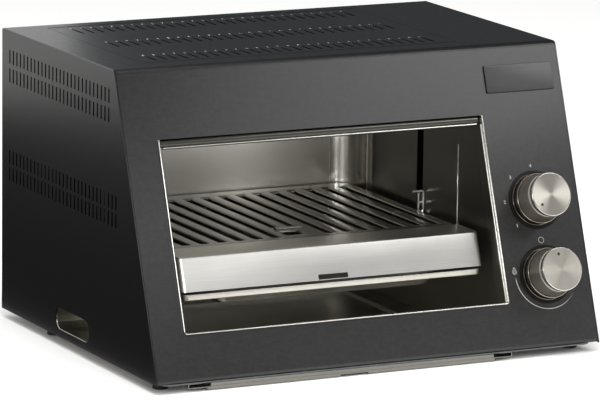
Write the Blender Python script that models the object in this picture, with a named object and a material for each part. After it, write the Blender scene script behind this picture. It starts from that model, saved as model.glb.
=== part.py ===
# Table-top grill with heat from above: a dark sheet-metal casing with a window in its
# sloping front, a rack with a steel apron, a drip pan and a crumb drawer that slide out,
# a knob that raises the rack and a gas knob that is pushed in and turned.
# Metres, +Z up. The viewer stands at -Y; +X is the viewer's right.
# Zero is the middle of the outline seen from above, on the surface the feet stand on.

import math

import bmesh
import bpy
from mathutils import Vector

# Casing
casing_width = 0.500
casing_depth = 0.390
casing_height = 0.2977
front_setback = 0.1074
casing_sheet = 0.0012
casing_edge_radius = 0.0018
foot_height = 0.0098

# Clearances
seam = 0.0003
panel_seam = 0.0004
running_gap = 0.0005
cut_overrun = 0.010

# Window in the sloping front, its lower and upper margins measured along the slope
window_left_margin = 0.0376
window_right_margin = 0.0998
window_bottom = 0.0494
window_top_margin = 0.0742

# Grill space behind the window
liner_sheet = 0.0010
liner_back_margin = 0.0270
liner_top_margin = 0.0657
liner_corner_radius = 0.030

# Rack, drip pan and their lift
rack_side_gap = 0.0113
rack_back_gap = 0.0030
rack_front_y = 0.108
rack_top_z = 0.1115
rack_headroom = 0.0455
apron_depth = 0.022

# Knobs on the front
knob_margin = 0.0505
height_knob_slope = 0.1525
gas_knob_slope = 0.0751
gas_knob_push = 0.0025

# Crumb drawer under the base
drawer_side_margin = 0.0183

# Gas inlet at the back
inlet_reach = 0.024
inlet_margin = 0.0505
inlet_z = 0.040

# Worked out from the sizes above
slope_length = math.hypot(casing_height, front_setback)
lean = math.atan2(front_setback, casing_height)
half_width = casing_width / 2
inner_half_width = half_width - casing_sheet
window_left = window_left_margin - half_width
window_right = half_width - window_right_margin
window_width = window_right - window_left
window_centre_x = (window_left + window_right) / 2
window_top = slope_length - window_top_margin
liner_back_y = casing_depth - liner_back_margin
liner_height = casing_height - liner_top_margin
rack_half_width = window_width / 2 - rack_side_gap
rack_back_y = liner_back_y - rack_back_gap
lift_travel = liner_height - rack_top_z - rack_headroom
knob_x = half_width - knob_margin
drawer_half_width = window_width / 2 - drawer_side_margin
inlet_x = half_width - inlet_margin

# Knob profile, outward along the front's normal
collar_ring_radius = 0.0304
collar_radius = 0.0262
collar_bore = 0.0221
collar_ring_height = 0.0012
collar_height = 0.0105
collar_chamfer = 0.0010
grip_radius = 0.0217
grip_standoff = 0.0015
grip_height = 0.0295
grip_back = gas_knob_push + grip_standoff
cap_radius = 0.0225
cap_face_radius = 0.0213
cap_height = 0.0360
cap_edge = 0.0009
spindle_radius = 0.0040
panel_hole_radius = 0.0052

# The foremost point is the lower knob's face; the hindmost is the gas inlet's end.
foremost_y = (gas_knob_slope * math.sin(lean) - cap_height * math.cos(lean)
              - cap_face_radius * math.sin(lean))
hindmost_y = casing_depth + inlet_reach
middle_y = (foremost_y + hindmost_y) / 2

# Mesh finish
merge_distance = 0.000001
smooth_angle = 32.0


def clear_scene():
    for old in list(bpy.data.objects):
        bpy.data.objects.remove(old, do_unlink=True)


def empty(name, location=(0, 0, 0), turn_x=0.0, parent=None):
    marker = bpy.data.objects.new(name, None)
    marker.location = location
    marker.rotation_euler = (turn_x, 0, 0)
    marker.parent = parent
    bpy.context.scene.collection.objects.link(marker)
    return marker


def material(name, colour, roughness, metallic):
    made = bpy.data.materials.new(name)
    made.use_nodes = True
    shader = made.node_tree.nodes["Principled BSDF"]
    shader.inputs["Base Color"].default_value = (*colour, 1)
    shader.inputs["Roughness"].default_value = roughness
    shader.inputs["Metallic"].default_value = metallic
    made.diffuse_color = (*colour, 1)
    return made


def put(name, mesh, finish, parent, location=(0, 0, 0), smooth=True):
    # One object from a bmesh, its faces turned outward.
    bmesh.ops.remove_doubles(mesh, verts=mesh.verts, dist=merge_distance)
    bmesh.ops.recalc_face_normals(mesh, faces=mesh.faces)
    data = bpy.data.meshes.new(name)
    mesh.to_mesh(data)
    mesh.free()
    if smooth:
        data.shade_smooth()
        data.set_sharp_from_angle(angle=math.radians(smooth_angle))
    if finish is not None:
        data.materials.append(finish)
    made = bpy.data.objects.new(name, data)
    made.parent = parent
    made.location = location
    bpy.context.scene.collection.objects.link(made)
    return made


def change(target, tool, operation):
    # The tool stays in the scene as a hidden guide.
    tool.hide_render = True
    tool.display_type = "WIRE"
    step = target.modifiers.new(tool.name, "BOOLEAN")
    step.operation = operation
    step.solver = "EXACT"
    step.object = tool


def cut(target, *tools):
    for tool in tools:
        change(target, tool, "DIFFERENCE")


def join(target, *tools):
    for tool in tools:
        change(target, tool, "UNION")


# Outlines are lists of pairs, read counter-clockwise or clockwise alike.

def rectangle(low_a, high_a, low_b, high_b):
    return [(low_a, low_b), (high_a, low_b), (high_a, high_b), (low_a, high_b)]


def rounded(points, radius, steps=4, closed=True):
    # Replaces each corner by an arc of the given radius; one radius, or one for each corner.
    count = len(points)
    radii = radius if isinstance(radius, (list, tuple)) else [radius] * count
    made = []
    for place, point in enumerate(points):
        end = not closed and place in (0, count - 1)
        if end or radii[place] <= 0:
            made.append(tuple(point))
            continue
        here = Vector(point)
        to_last = (Vector(points[place - 1]) - here).normalized()
        to_next = (Vector(points[(place + 1) % count]) - here).normalized()
        half_corner = to_last.angle(to_next) / 2
        reach = radii[place] / math.tan(half_corner)
        middle = here + (to_last + to_next).normalized() * (radii[place] / math.sin(half_corner))
        first = here + to_last * reach - middle
        last = here + to_next * reach - middle
        sweep = first.angle(last)
        for step in range(steps + 1):
            share = step / steps
            spread = math.sin(sweep)
            made.append(tuple(middle + first * (math.sin((1 - share) * sweep) / spread)
                              + last * (math.sin(share * sweep) / spread)))
    return made


def circle(radius, sides, centre=(0, 0)):
    turns = [2 * math.pi * side / sides for side in range(sides)]
    return [(centre[0] + radius * math.cos(turn), centre[1] + radius * math.sin(turn))
            for turn in turns]


def sheet_outline(path, thickness):
    # A bent sheet's section: the path and its parallel at the path's left-hand side.
    side = []
    for place, point in enumerate(path):
        here = Vector(point)
        before = here - Vector(path[max(place - 1, 0)])
        after = Vector(path[min(place + 1, len(path) - 1)]) - here
        before = before.normalized() if before.length else after.normalized()
        after = after.normalized() if after.length else before.normalized()
        across = Vector((-before.y - after.y, before.x + after.x)).normalized()
        stretch = across.dot(Vector((-before.y, before.x)))
        side.append(tuple(here + across * (thickness / stretch)))
    return [tuple(point) for point in path] + side[::-1]


# Solids. Axis "x" takes outlines of (y, z), "y" takes (x, z) and "z" takes (x, y).

def placed(pair, along, axis):
    if axis == "x":
        return (along, pair[0], pair[1])
    if axis == "y":
        return (pair[0], along, pair[1])
    return (pair[0], pair[1], along)


def loop_at(outline, along, axis):
    return [placed(pair, along, axis) for pair in outline]


def lofted(loops, closed=False):
    # Skins loops of equal count; a closed run of loops is a ring, an open one gets end caps.
    mesh = bmesh.new()
    rows = [[mesh.verts.new(point) for point in loop] for loop in loops]
    pairs = list(zip(rows, rows[1:] + rows[:1])) if closed else list(zip(rows, rows[1:]))
    for low, high in pairs:
        for place in range(len(low)):
            after = (place + 1) % len(low)
            mesh.faces.new((low[place], low[after], high[after], high[place]))
    if not closed:
        mesh.faces.new(rows[0][::-1])
        mesh.faces.new(rows[-1])
    return mesh


def prism(outline, low, high, axis="z"):
    return lofted([loop_at(outline, low, axis), loop_at(outline, high, axis)])


def block(low_x, high_x, low_y, high_y, low_z, high_z):
    return prism(rectangle(low_x, high_x, low_y, high_y), low_z, high_z)


def ring(outer, inner, low, high, axis="z"):
    return lofted([loop_at(outer, low, axis), loop_at(outer, high, axis),
                   loop_at(inner, high, axis), loop_at(inner, low, axis)], closed=True)


def blocks(boxes):
    # Several separate boxes in one mesh, for cutting a pattern in one go.
    mesh = bmesh.new()
    for low, high in boxes:
        corners = [mesh.verts.new((x, y, z)) for z in (low[2], high[2])
                   for x, y in rectangle(low[0], high[0], low[1], high[1])]
        mesh.faces.new(corners[3::-1])
        mesh.faces.new(corners[4:])
        for place in range(4):
            after = (place + 1) % 4
            mesh.faces.new((corners[place], corners[after], corners[after + 4], corners[place + 4]))
    return mesh


def turned(profile, sides=32, axis="z", centre=(0, 0)):
    # A profile of (radius, along) turned about the axis. Ends at radius zero close the solid;
    # a profile without them is a closed ring.
    through = profile[0][0] > 0
    inside = [pair for pair in profile if pair[0] > 0]
    loops = [loop_at(circle(radius, sides, centre), along, axis) for radius, along in inside]
    return lofted(loops, closed=through)


def pipe(name, points, radius, finish, parent, bend=0.0, sides_share=1):
    # A round bar or pipe along a path whose corners are bent to the given radius.
    route = [Vector(points[0])]
    for place in range(1, len(points) - 1):
        route.extend(bent(points[place - 1], points[place], points[place + 1], bend))
    route.append(Vector(points[-1]))
    line = bpy.data.curves.new(name, "CURVE")
    line.dimensions = "3D"
    line.bevel_depth = radius
    line.bevel_resolution = sides_share
    line.use_fill_caps = True
    spline = line.splines.new("POLY")
    spline.points.add(len(route) - 1)
    for spot, point in zip(spline.points, route):
        spot.co = (*point, 1)
    line.materials.append(finish)
    made = bpy.data.objects.new(name, line)
    made.parent = parent
    bpy.context.scene.collection.objects.link(made)
    return made


def bent(before, corner, after, radius, steps=4):
    corner = Vector(corner)
    back = (Vector(before) - corner).normalized()
    ahead = (Vector(after) - corner).normalized()
    half_corner = back.angle(ahead) / 2
    reach = radius / math.tan(half_corner)
    middle = corner + (back + ahead).normalized() * (radius / math.sin(half_corner))
    first = corner + back * reach - middle
    last = corner + ahead * reach - middle
    sweep = first.angle(last)
    shares = [step / steps for step in range(steps + 1)]
    return [middle + first * (math.sin((1 - share) * sweep) / math.sin(sweep))
            + last * (math.sin(share * sweep) / math.sin(sweep)) for share in shares]


def from_plane(slope, out):
    # (y, z) of a point this far up the front's slope and this far outward from it.
    return (slope * math.sin(lean) - out * math.cos(lean),
            slope * math.cos(lean) + out * math.sin(lean))


clear_scene()
appliance = empty("appliance", (0, -middle_y, foot_height))
front_plane = empty("front_plane", turn_x=math.pi / 2 - lean, parent=appliance)

dark_steel = material("dark brushed steel", (0.075, 0.075, 0.075), 0.42, 0.9)
bright_steel = material("bright stainless steel", (0.72, 0.71, 0.68), 0.22, 1.0)
brushed_steel = material("brushed stainless steel", (0.55, 0.54, 0.51), 0.32, 1.0)
plated_steel = material("galvanised steel", (0.42, 0.43, 0.44), 0.45, 1.0)
rack_steel = material("rack stainless steel", (0.40, 0.39, 0.36), 0.30, 1.0)
knob_steel = material("knurled knob metal", (0.30, 0.29, 0.27), 0.34, 1.0)
brass = material("brass", (0.63, 0.45, 0.18), 0.35, 1.0)
ceramic = material("burner ceramic", (0.78, 0.74, 0.66), 0.85, 0.0)
black_rubber = material("black rubber", (0.02, 0.02, 0.02), 0.75, 0.0)


# Casing: one folded sheet for the sides and the top, with sheets set into it

side_vent_width = 0.0030
side_vent_height = 0.0145
side_vent_pitch = 0.00928
vent_back_margin = 0.019
upper_vent_front = 0.1180
upper_vent_drop = 0.0368
upper_row_pitch = 0.0195
lower_vent_front = 0.1000
lower_vent_rise = 0.1558
lower_row_pitch = 0.0180
hand_hole_front = 0.165
hand_hole_length = 0.084
hand_hole_height = 0.024
hand_hole_rise = 0.019
hand_hole_radius = 0.0105
panel_top_radius = 0.0065
panel_tail = 0.0006
front_tail = panel_top_radius * math.tan((math.pi / 2 - lean) / 2) + panel_tail


def side_vent_boxes(side):
    wall = sorted((side * (half_width + cut_overrun), side * (inner_half_width - cut_overrun)))
    groups = ((upper_vent_front, casing_height - upper_vent_drop, upper_row_pitch),
              (lower_vent_front, lower_vent_rise, lower_row_pitch))
    boxes = []
    for front, middle_z, row_pitch in groups:
        count = int((casing_depth - vent_back_margin - front) / side_vent_pitch) + 1
        for row in (-1, 1):
            z = middle_z + row * row_pitch / 2
            for slot in range(count):
                y = casing_depth - vent_back_margin - slot * side_vent_pitch
                boxes.append(((wall[0], y - side_vent_width, z - side_vent_height / 2),
                              (wall[1], y, z + side_vent_height / 2)))
    return boxes


def hand_hole_outline(margin=0.0):
    return rounded(rectangle(hand_hole_front - margin, hand_hole_front + hand_hole_length + margin,
                             hand_hole_rise - hand_hole_height / 2 - margin,
                             hand_hole_rise + hand_hole_height / 2 + margin),
                   hand_hole_radius + margin)


def casing_shell():
    path = rounded([(half_width, 0), (half_width, casing_height),
                    (-half_width, casing_height), (-half_width, 0)],
                   casing_edge_radius, steps=2, closed=False)
    shell = put("casing_shell", prism(sheet_outline(path, casing_sheet), 0, casing_depth, "y"),
                dark_steel, appliance)
    edge = rounded([(-casing_depth, -cut_overrun), (-cut_overrun * math.tan(lean), -cut_overrun),
                    (front_setback, casing_height), (front_setback + front_tail, casing_height),
                    (front_setback + front_tail, casing_height + cut_overrun),
                    (-casing_depth, casing_height + cut_overrun)],
                   [0, 0, panel_top_radius, 0, 0, 0])
    ahead = put("shell front cut", prism(edge, -casing_width, casing_width, "x"), None, appliance)
    panel_space = put("shell panel space",
                      block(-inner_half_width, inner_half_width, -casing_depth,
                            front_setback + front_tail + seam,
                            casing_height - casing_sheet - cut_overrun,
                            casing_height + cut_overrun), None, appliance)
    opening = put("shell top opening",
                  block(vent_plate_left, vent_plate_right, vent_plate_front, vent_plate_back,
                        casing_height - cut_overrun, casing_height + cut_overrun),
                  None, appliance)
    vents = put("shell side vents", blocks(side_vent_boxes(-1) + side_vent_boxes(1)),
                None, appliance)
    hands = put("shell hand holes",
                prism(hand_hole_outline(), -casing_width, casing_width, "x"), None, appliance)
    cut(shell, ahead, panel_space, opening, vents, hands)


panel_foot_radius = 0.0030
panel_return = 0.012
trim_sheet = 0.0015
trim_proud = 0.0025
trim_depth = 0.0200
trim_radius = 0.0015


def front_panel():
    path = rounded([(front_setback + front_tail, casing_height), (front_setback, casing_height),
                    (0, 0), (panel_return, 0)],
                   [0, panel_top_radius, panel_foot_radius, 0], closed=False)
    reach = inner_half_width - panel_seam
    panel = put("front_panel", prism(sheet_outline(path, casing_sheet), -reach, reach, "x"),
                dark_steel, appliance)
    window = put("panel window cut",
                 prism(window_outline(trim_sheet + seam), -cut_overrun, cut_overrun),
                 None, front_plane)
    cut(panel, window)
    for slope in (height_knob_slope, gas_knob_slope):
        hole = turned([(0, -cut_overrun), (panel_hole_radius, -cut_overrun),
                       (panel_hole_radius, cut_overrun), (0, cut_overrun)], 20,
                      centre=(knob_x, slope))
        cut(panel, put("panel knob hole", hole, None, front_plane))


def window_outline(margin):
    return rounded(rectangle(window_left - margin, window_right + margin,
                             window_bottom - margin, window_top + margin),
                   trim_radius + margin)


def window_trim():
    put("window_trim", ring(window_outline(trim_sheet), window_outline(0),
                            -trim_depth, trim_proud), bright_steel, front_plane)


guard_radius = 0.0042
guard_leg = 0.0140
guard_front = 0.0010
guard_sheet = 0.0010


def window_guard_bar():
    # A sheet folded round into a smooth nose, set just under the trim's upper side.
    top = window_top - seam
    path = [(top, -guard_front - guard_radius - guard_leg)]
    path += [(top - guard_radius + guard_radius * math.cos(turn),
              -guard_front - guard_radius + guard_radius * math.sin(turn))
             for turn in (math.pi * step / 8 for step in range(9))]
    path += [(top - 2 * guard_radius, -guard_front - guard_radius - guard_leg)]
    outline = sheet_outline(path, guard_sheet)
    put("window_guard_bar",
        prism(outline, window_left + trim_radius, window_right - trim_radius, "x"),
        bright_steel, front_plane)


plate_width = 0.0790
plate_height = 0.0286
plate_margin = 0.0492
plate_drop = 0.0361
plate_thickness = 0.0018
plate_radius = 0.0015
plate_x = half_width - plate_margin


def name_plate():
    # A raised plate, left bare.
    middle = slope_length - plate_drop
    outline = rounded(rectangle(plate_x - plate_width / 2, plate_x + plate_width / 2,
                                middle - plate_height / 2, middle + plate_height / 2),
                      plate_radius, steps=2)
    put("name_plate", prism(outline, seam, plate_thickness), dark_steel, front_plane)


top_flange = 0.008
top_fold_radius = 0.0012
vent_plate_left_margin = 0.0435
vent_plate_front_margin = 0.0285
vent_plate_back_margin = 0.0168
vent_plate_right = window_right
vent_plate_left = vent_plate_left_margin - half_width
vent_plate_front = front_setback + vent_plate_front_margin
vent_plate_back = casing_depth - vent_plate_back_margin
top_slot_margin = 0.0190
top_slot_pitch = 0.01166
top_slot_width = 0.0028
top_slot_length = 0.0345
top_row_pitch = 0.0899
first_row_margin = 0.0284


def top_vent_plate():
    front = vent_plate_front + panel_seam
    back = vent_plate_back - panel_seam
    path = rounded([(back, casing_height - top_flange), (back, casing_height),
                    (front, casing_height), (front, casing_height - top_flange)],
                   top_fold_radius + casing_sheet, steps=3, closed=False)
    plate = put("top_vent_plate",
                prism(sheet_outline(path, casing_sheet), vent_plate_left + panel_seam,
                      vent_plate_right - panel_seam, "x"), dark_steel, appliance)
    middle_x = (vent_plate_left + vent_plate_right) / 2
    slot_count = int((vent_plate_right - vent_plate_left - 2 * top_slot_margin) / top_slot_pitch) + 1
    row_count = int((vent_plate_back - vent_plate_front - 2 * first_row_margin) / top_row_pitch) + 1
    boxes = []
    for row in range(row_count):
        y = vent_plate_front + first_row_margin + row * top_row_pitch
        for slot in range(slot_count):
            x = middle_x + (slot - (slot_count - 1) / 2) * top_slot_pitch
            boxes.append(((x - top_slot_width / 2, y - top_slot_length / 2,
                           casing_height - top_flange / 2),
                          (x + top_slot_width / 2, y + top_slot_length / 2,
                           casing_height + cut_overrun)))
    cut(plate, put("top slots", blocks(boxes), None, appliance))


rear_flange = 0.012
inlet_hole_radius = 0.0090


def rear_panel():
    top = casing_height - casing_sheet - seam
    path = rounded([(casing_depth - rear_flange, 0), (casing_depth, 0), (casing_depth, top),
                    (casing_depth - rear_flange, top)],
                   panel_foot_radius, steps=3, closed=False)
    reach = inner_half_width - panel_seam
    panel = put("rear_panel", prism(sheet_outline(path, casing_sheet), -reach, reach, "x"),
                dark_steel, appliance)
    hole = turned([(0, casing_depth - cut_overrun), (inlet_hole_radius, casing_depth - cut_overrun),
                   (inlet_hole_radius, casing_depth + cut_overrun),
                   (0, casing_depth + cut_overrun)], 20, "y", (inlet_x, inlet_z))
    cut(panel, put("rear inlet hole", hole, None, appliance))


base_sheet = 0.0015
base_side_margin = 0.0070
base_end_margin = 0.0030
base_opening_lap = 0.008
base_opening_front = 0.025
base_opening_back_margin = 0.045
base_opening_radius = 0.010
base_opening_half_width = drawer_half_width - base_opening_lap
base_opening_back = casing_depth - base_opening_back_margin
base_top = -seam
base_bottom = base_top - base_sheet


def base_plate():
    reach = half_width - base_side_margin
    outer = rounded(rectangle(-reach, reach, base_end_margin, casing_depth - base_end_margin),
                    base_opening_radius)
    inner = rounded(rectangle(window_centre_x - base_opening_half_width,
                              window_centre_x + base_opening_half_width,
                              base_opening_front, base_opening_back), base_opening_radius)
    put("base_plate", ring(outer, inner, base_bottom, base_top), plated_steel, appliance)


foot_radius = 0.0080
foot_chamfer = 0.0010
foot_side_margin = 0.018
front_foot_y = 0.0315
rear_foot_margin = 0.0975
rear_foot_y = casing_depth - rear_foot_margin


def feet():
    low = -foot_height
    high = base_bottom - seam
    for depth_name, y in (("front", front_foot_y), ("rear", rear_foot_y)):
        for side_name, side in (("left", -1), ("right", 1)):
            x = side * (half_width - foot_side_margin)
            profile = [(0, low), (foot_radius - foot_chamfer, low),
                       (foot_radius, low + foot_chamfer), (foot_radius, high), (0, high)]
            put(f"foot_{depth_name}_{side_name}", turned(profile, 20, centre=(x, y)),
                black_rubber, appliance)


lining_sheet = 0.0008
lining_depth = 0.028
lining_flange = 0.005


def hand_hole_linings():
    # A folded cup behind each hand hole, its flange flat on the casing's inner face.
    for side_name, side in (("left", -1), ("right", 1)):
        face = side * (inner_half_width - seam)
        shelf = face - side * lining_sheet
        floor = face - side * lining_depth
        loops = [loop_at(hand_hole_outline(), face, "x"),
                 loop_at(hand_hole_outline(lining_flange), face, "x"),
                 loop_at(hand_hole_outline(lining_flange), shelf, "x"),
                 loop_at(hand_hole_outline(lining_sheet), shelf, "x"),
                 loop_at(hand_hole_outline(lining_sheet), floor, "x")]
        mesh = lofted([loop_at(hand_hole_outline(), floor + side * lining_sheet, "x")] + loops)
        put(f"hand_hole_lining_{side_name}", mesh, bright_steel, appliance)


casing_shell()
front_panel()
window_trim()
window_guard_bar()
name_plate()
top_vent_plate()
rear_panel()
base_plate()
feet()
hand_hole_linings()


# Grill space: two flat side sheets and a back sheet bent round at both ends

lift_slot_back_margin = 0.151
lift_slot_width = 0.014
lift_slot_below = 0.006
lift_slot_above = 0.029
liner_joint_margin = 0.045
hook_arm_z = 0.118

lift_slot_y = liner_back_y - lift_slot_back_margin
lift_slot_low = hook_arm_z - lift_slot_below
lift_slot_high = hook_arm_z + lift_travel + lift_slot_above
liner_joint_y = liner_back_y - liner_joint_margin


def liner_back():
    # Travelling leftward along the back, the sheet's outer side is on the right.
    joint = liner_joint_y + seam
    inner = rounded([(window_left, joint), (window_left, liner_back_y),
                     (window_right, liner_back_y), (window_right, joint)],
                    liner_corner_radius, steps=6, closed=False)
    put("liner_back", prism(sheet_outline(inner, liner_sheet), 0, liner_height),
        brushed_steel, appliance)


def liner_sides():
    for name, low, high in (("left", window_left - liner_sheet, window_left),
                            ("right", window_right, window_right + liner_sheet)):
        side = put(f"liner_{name}", block(low, high, -casing_depth, liner_joint_y, 0, liner_height),
                   brushed_steel, appliance)
        front = put("liner front cut", block(-casing_width, casing_width, -casing_depth,
                                             slope_length + casing_depth, -trim_depth - seam,
                                             2 * casing_depth), None, front_plane)
        slot = put("liner lift slot",
                   block(-casing_width, casing_width, lift_slot_y - lift_slot_width / 2,
                         lift_slot_y + lift_slot_width / 2, lift_slot_low, lift_slot_high),
                   None, appliance)
        cut(side, front, slot)


# Burner above the grill space: three ceramic tiles in a sheet-metal hood

tile_count = 3
tile_thickness = 0.013
tile_side_margin = 0.0235
tile_front_margin = 0.0383
tile_back_margin = 0.048
hood_sheet = 0.0010
hood_brim_front_reach = 0.032
hood_brim_back_reach = 0.030
hood_brim_overhang = 0.016
hood_top_margin = 0.0134
hood_radius = 0.001
hood_brim_radius = 0.006
hood_lip = 0.004
tube_radius = 0.0120
tube_wall = 0.0010
tube_mouth_radius = 0.0160
tube_mouth_length = 0.0200
tube_offset = 0.008
tube_rise = 0.030
tube_reach = 0.110
tube_stand_off = 0.004
probe_hole_radius = 0.0036
igniter_margin = 0.0702
thermocouple_margin = 0.0704
probe_gap = 0.014

tile_front_y = liner_height * math.tan(lean) + tile_front_margin
tile_back_y = casing_depth - tile_back_margin
tiles_half_width = window_width / 2 - tile_side_margin
tile_width = (2 * tiles_half_width - (tile_count - 1) * seam) / tile_count
brim_low = liner_height + seam
brim_high = brim_low + hood_sheet
hood_high = casing_height - hood_top_margin
tube_y = (tile_front_y + tile_back_y) / 2 + tube_offset
igniter_x = window_right - igniter_margin
thermocouple_x = window_left + thermocouple_margin
probe_y = tile_front_y - probe_gap
tube_z = brim_low + tube_rise
tube_mouth_x = window_right + tube_stand_off


def hood_outline(margin):
    return rounded(rectangle(window_centre_x - tiles_half_width - margin,
                             window_centre_x + tiles_half_width + margin,
                             tile_front_y - margin, tile_back_y + margin), hood_radius)


def burner_hood():
    brim = rounded(rectangle(window_left - hood_brim_overhang, window_right + hood_brim_overhang,
                             tile_front_y - hood_brim_front_reach,
                             tile_back_y + hood_brim_back_reach), hood_brim_radius)
    inner = panel_seam
    outer = inner + hood_sheet
    mesh = lofted([loop_at(hood_outline(outer), hood_high, "z"),
                   loop_at(hood_outline(outer), brim_high, "z"),
                   loop_at(brim, brim_high, "z"), loop_at(brim, brim_low, "z"),
                   loop_at(hood_outline(-hood_lip), brim_low, "z"),
                   loop_at(hood_outline(-hood_lip), brim_high, "z"),
                   loop_at(hood_outline(inner), brim_high, "z"),
                   loop_at(hood_outline(inner), hood_high - hood_sheet, "z")])
    hood = put("burner_hood", mesh, plated_steel, appliance)
    hole = turned([(0, window_centre_x), (tube_radius + running_gap, window_centre_x),
                   (tube_radius + running_gap, window_right), (0, window_right)], 20, "x",
                  (tube_y, tube_z))
    cut(hood, put("hood tube hole", hole, None, appliance))
    for probe_x in (igniter_x, thermocouple_x):
        probe = turned([(0, brim_low - cut_overrun), (probe_hole_radius, brim_low - cut_overrun),
                        (probe_hole_radius, brim_high + cut_overrun),
                        (0, brim_high + cut_overrun)], 12, centre=(probe_x, probe_y))
        cut(hood, put("hood probe hole", probe, None, appliance))


def burner_tiles():
    low = brim_high + seam
    for place, name in enumerate(("left", "middle", "right")):
        left = window_centre_x - tiles_half_width + place * (tile_width + seam)
        put(f"burner_tile_{name}",
            block(left, left + tile_width, tile_front_y, tile_back_y, low, low + tile_thickness),
            ceramic, appliance)


def mixing_tube():
    # Gas and air enter at the flared mouth and are blown into the hood above the tiles.
    end = tube_mouth_x - tube_mouth_length - tube_reach
    profile = [(tube_radius - tube_wall, end), (tube_radius, end),
               (tube_radius, tube_mouth_x - tube_mouth_length), (tube_mouth_radius, tube_mouth_x),
               (tube_mouth_radius - tube_wall, tube_mouth_x),
               (tube_radius - tube_wall, tube_mouth_x - tube_mouth_length)]
    put("mixing_tube", turned(profile, 24, "x", (tube_y, tube_z)), plated_steel, appliance)


probe_radius = 0.0030
probe_collar_radius = 0.0055
probe_collar_height = 0.0015
probe_tip_radius = 0.0010
probe_tip_length = 0.0100
probe_below = 0.0080
probe_above = 0.0180


def probe(name, x, finish):
    seat = brim_high + seam
    profile = [(0, brim_low - probe_below - probe_tip_length),
               (probe_tip_radius, brim_low - probe_below - probe_tip_length),
               (probe_tip_radius, brim_low - probe_below), (probe_radius, brim_low - probe_below),
               (probe_radius, seat), (probe_collar_radius, seat),
               (probe_collar_radius, seat + probe_collar_height),
               (probe_radius, seat + probe_collar_height), (probe_radius, seat + probe_above),
               (0, seat + probe_above)]
    put(name, turned(profile, 12, centre=(x, probe_y)), finish, appliance)


liner_back()
liner_sides()
burner_hood()
burner_tiles()
mixing_tube()
probe("igniter", igniter_x, ceramic)
probe("thermocouple", thermocouple_x, brass)


# Gas: inlet at the back, pipe to the tap behind the lower knob, pipe on to the burner

valve_radius = 0.0160
valve_depth = 0.0400
stem_depth = 0.0185
valve_bore_spare = 0.0010
valve_bore_depth = stem_depth + gas_knob_push + valve_bore_spare
supply_radius = 0.0040
supply_bend = 0.0120
supply_drop_length = 0.0300
supply_level_y = 0.150
inlet_radius = 0.0085
inlet_bore = 0.0019
inlet_flange_radius = 0.0125
inlet_flange = 0.0040
inlet_inside = 0.0120
burner_pipe_radius = 0.0030
burner_pipe_bend = 0.0080
burner_pipe_port = 0.0250
burner_pipe_rise = 0.0110
burner_pipe_margin = 0.012
burner_pipe_step = 0.0150
injector_radius = 0.0060
injector_nozzle_radius = 0.0030
injector_length = 0.0160
injector_entry = 0.0040


def gas_valve():
    back = -casing_sheet - seam
    profile = [(0, -valve_depth), (valve_radius, -valve_depth), (valve_radius, back),
               (spindle_radius + running_gap, back),
               (spindle_radius + running_gap, -valve_bore_depth), (0, -valve_bore_depth)]
    put("gas_valve", turned(profile, 24, centre=(knob_x, gas_knob_slope)), brass, front_plane)


def gas_inlet():
    face = casing_depth + seam
    profile = [(inlet_bore, casing_depth - inlet_inside), (inlet_radius, casing_depth - inlet_inside),
               (inlet_radius, face), (inlet_flange_radius, face),
               (inlet_flange_radius, face + inlet_flange), (inlet_radius, face + inlet_flange),
               (inlet_radius, casing_depth + inlet_reach), (inlet_bore, casing_depth + inlet_reach)]
    put("gas_inlet", turned(profile, 20, "y", (inlet_x, inlet_z)), brass, appliance)


def gas_pipes():
    tail = from_plane(gas_knob_slope, -valve_depth - seam)
    drop = from_plane(gas_knob_slope, -valve_depth - supply_drop_length)
    pipe("supply_pipe", [(knob_x, *tail), (knob_x, *drop), (inlet_x, supply_level_y, inlet_z),
                         (inlet_x, casing_depth - inlet_inside - seam, inlet_z)],
         supply_radius, plated_steel, appliance, supply_bend)
    port = from_plane(gas_knob_slope + valve_radius + seam, -burner_pipe_port)
    rise = from_plane(gas_knob_slope + valve_radius + burner_pipe_rise, -burner_pipe_port)
    side = half_width - burner_pipe_margin
    pipe("burner_pipe", [(knob_x, *port), (knob_x, *rise),
                         (side, rise[0] + burner_pipe_step, rise[1] + burner_pipe_step),
                         (side, tube_y, tube_z),
                         (tube_mouth_x - injector_entry + injector_length + seam, tube_y, tube_z)],
         burner_pipe_radius, plated_steel, appliance, burner_pipe_bend)


def injector():
    tip = tube_mouth_x - injector_entry
    shoulder = tip + injector_entry * 2
    end = tip + injector_length
    profile = [(0, tip), (injector_nozzle_radius, tip), (injector_radius, shoulder),
               (injector_radius, end), (0, end)]
    put("injector", turned(profile, 12, "x", (tube_y, tube_z)), brass, appliance)


# Knobs: a fixed collar on the panel, a grip that turns in it and a polished cap

knob_sides = 32
height_spindle_end = 0.0500
pinion_front = 0.0300
pinion_back = 0.0380
pinion_teeth = 24
plate_gap = 0.0023
lift_plate_sheet = 0.0015
lift_strip_width = 0.01396
gear_tooth = 0.0032
bracket_depth = 0.0440
bracket_sheet = 0.0015
bracket_half_width = 0.0145
bracket_reach = 0.0340

plate_inner = window_width / 2 + liner_sheet + plate_gap
plate_outer = plate_inner + lift_plate_sheet
strip_back_x = window_centre_x + plate_outer + seam
strip_tip_x = strip_back_x + lift_strip_width
# With this radius the lift's travel turns the knob by 135 degrees.
pinion_radius = knob_x - seam - strip_tip_x


def knob_collar(name, slope):
    profile = [(collar_bore, seam), (collar_ring_radius, seam),
               (collar_ring_radius, collar_ring_height), (collar_radius, collar_ring_height * 2),
               (collar_radius, collar_height - collar_chamfer),
               (collar_radius - collar_chamfer, collar_height), (collar_bore, collar_height)]
    put(name, turned(profile, knob_sides, centre=(knob_x, slope)), bright_steel, front_plane)


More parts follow.
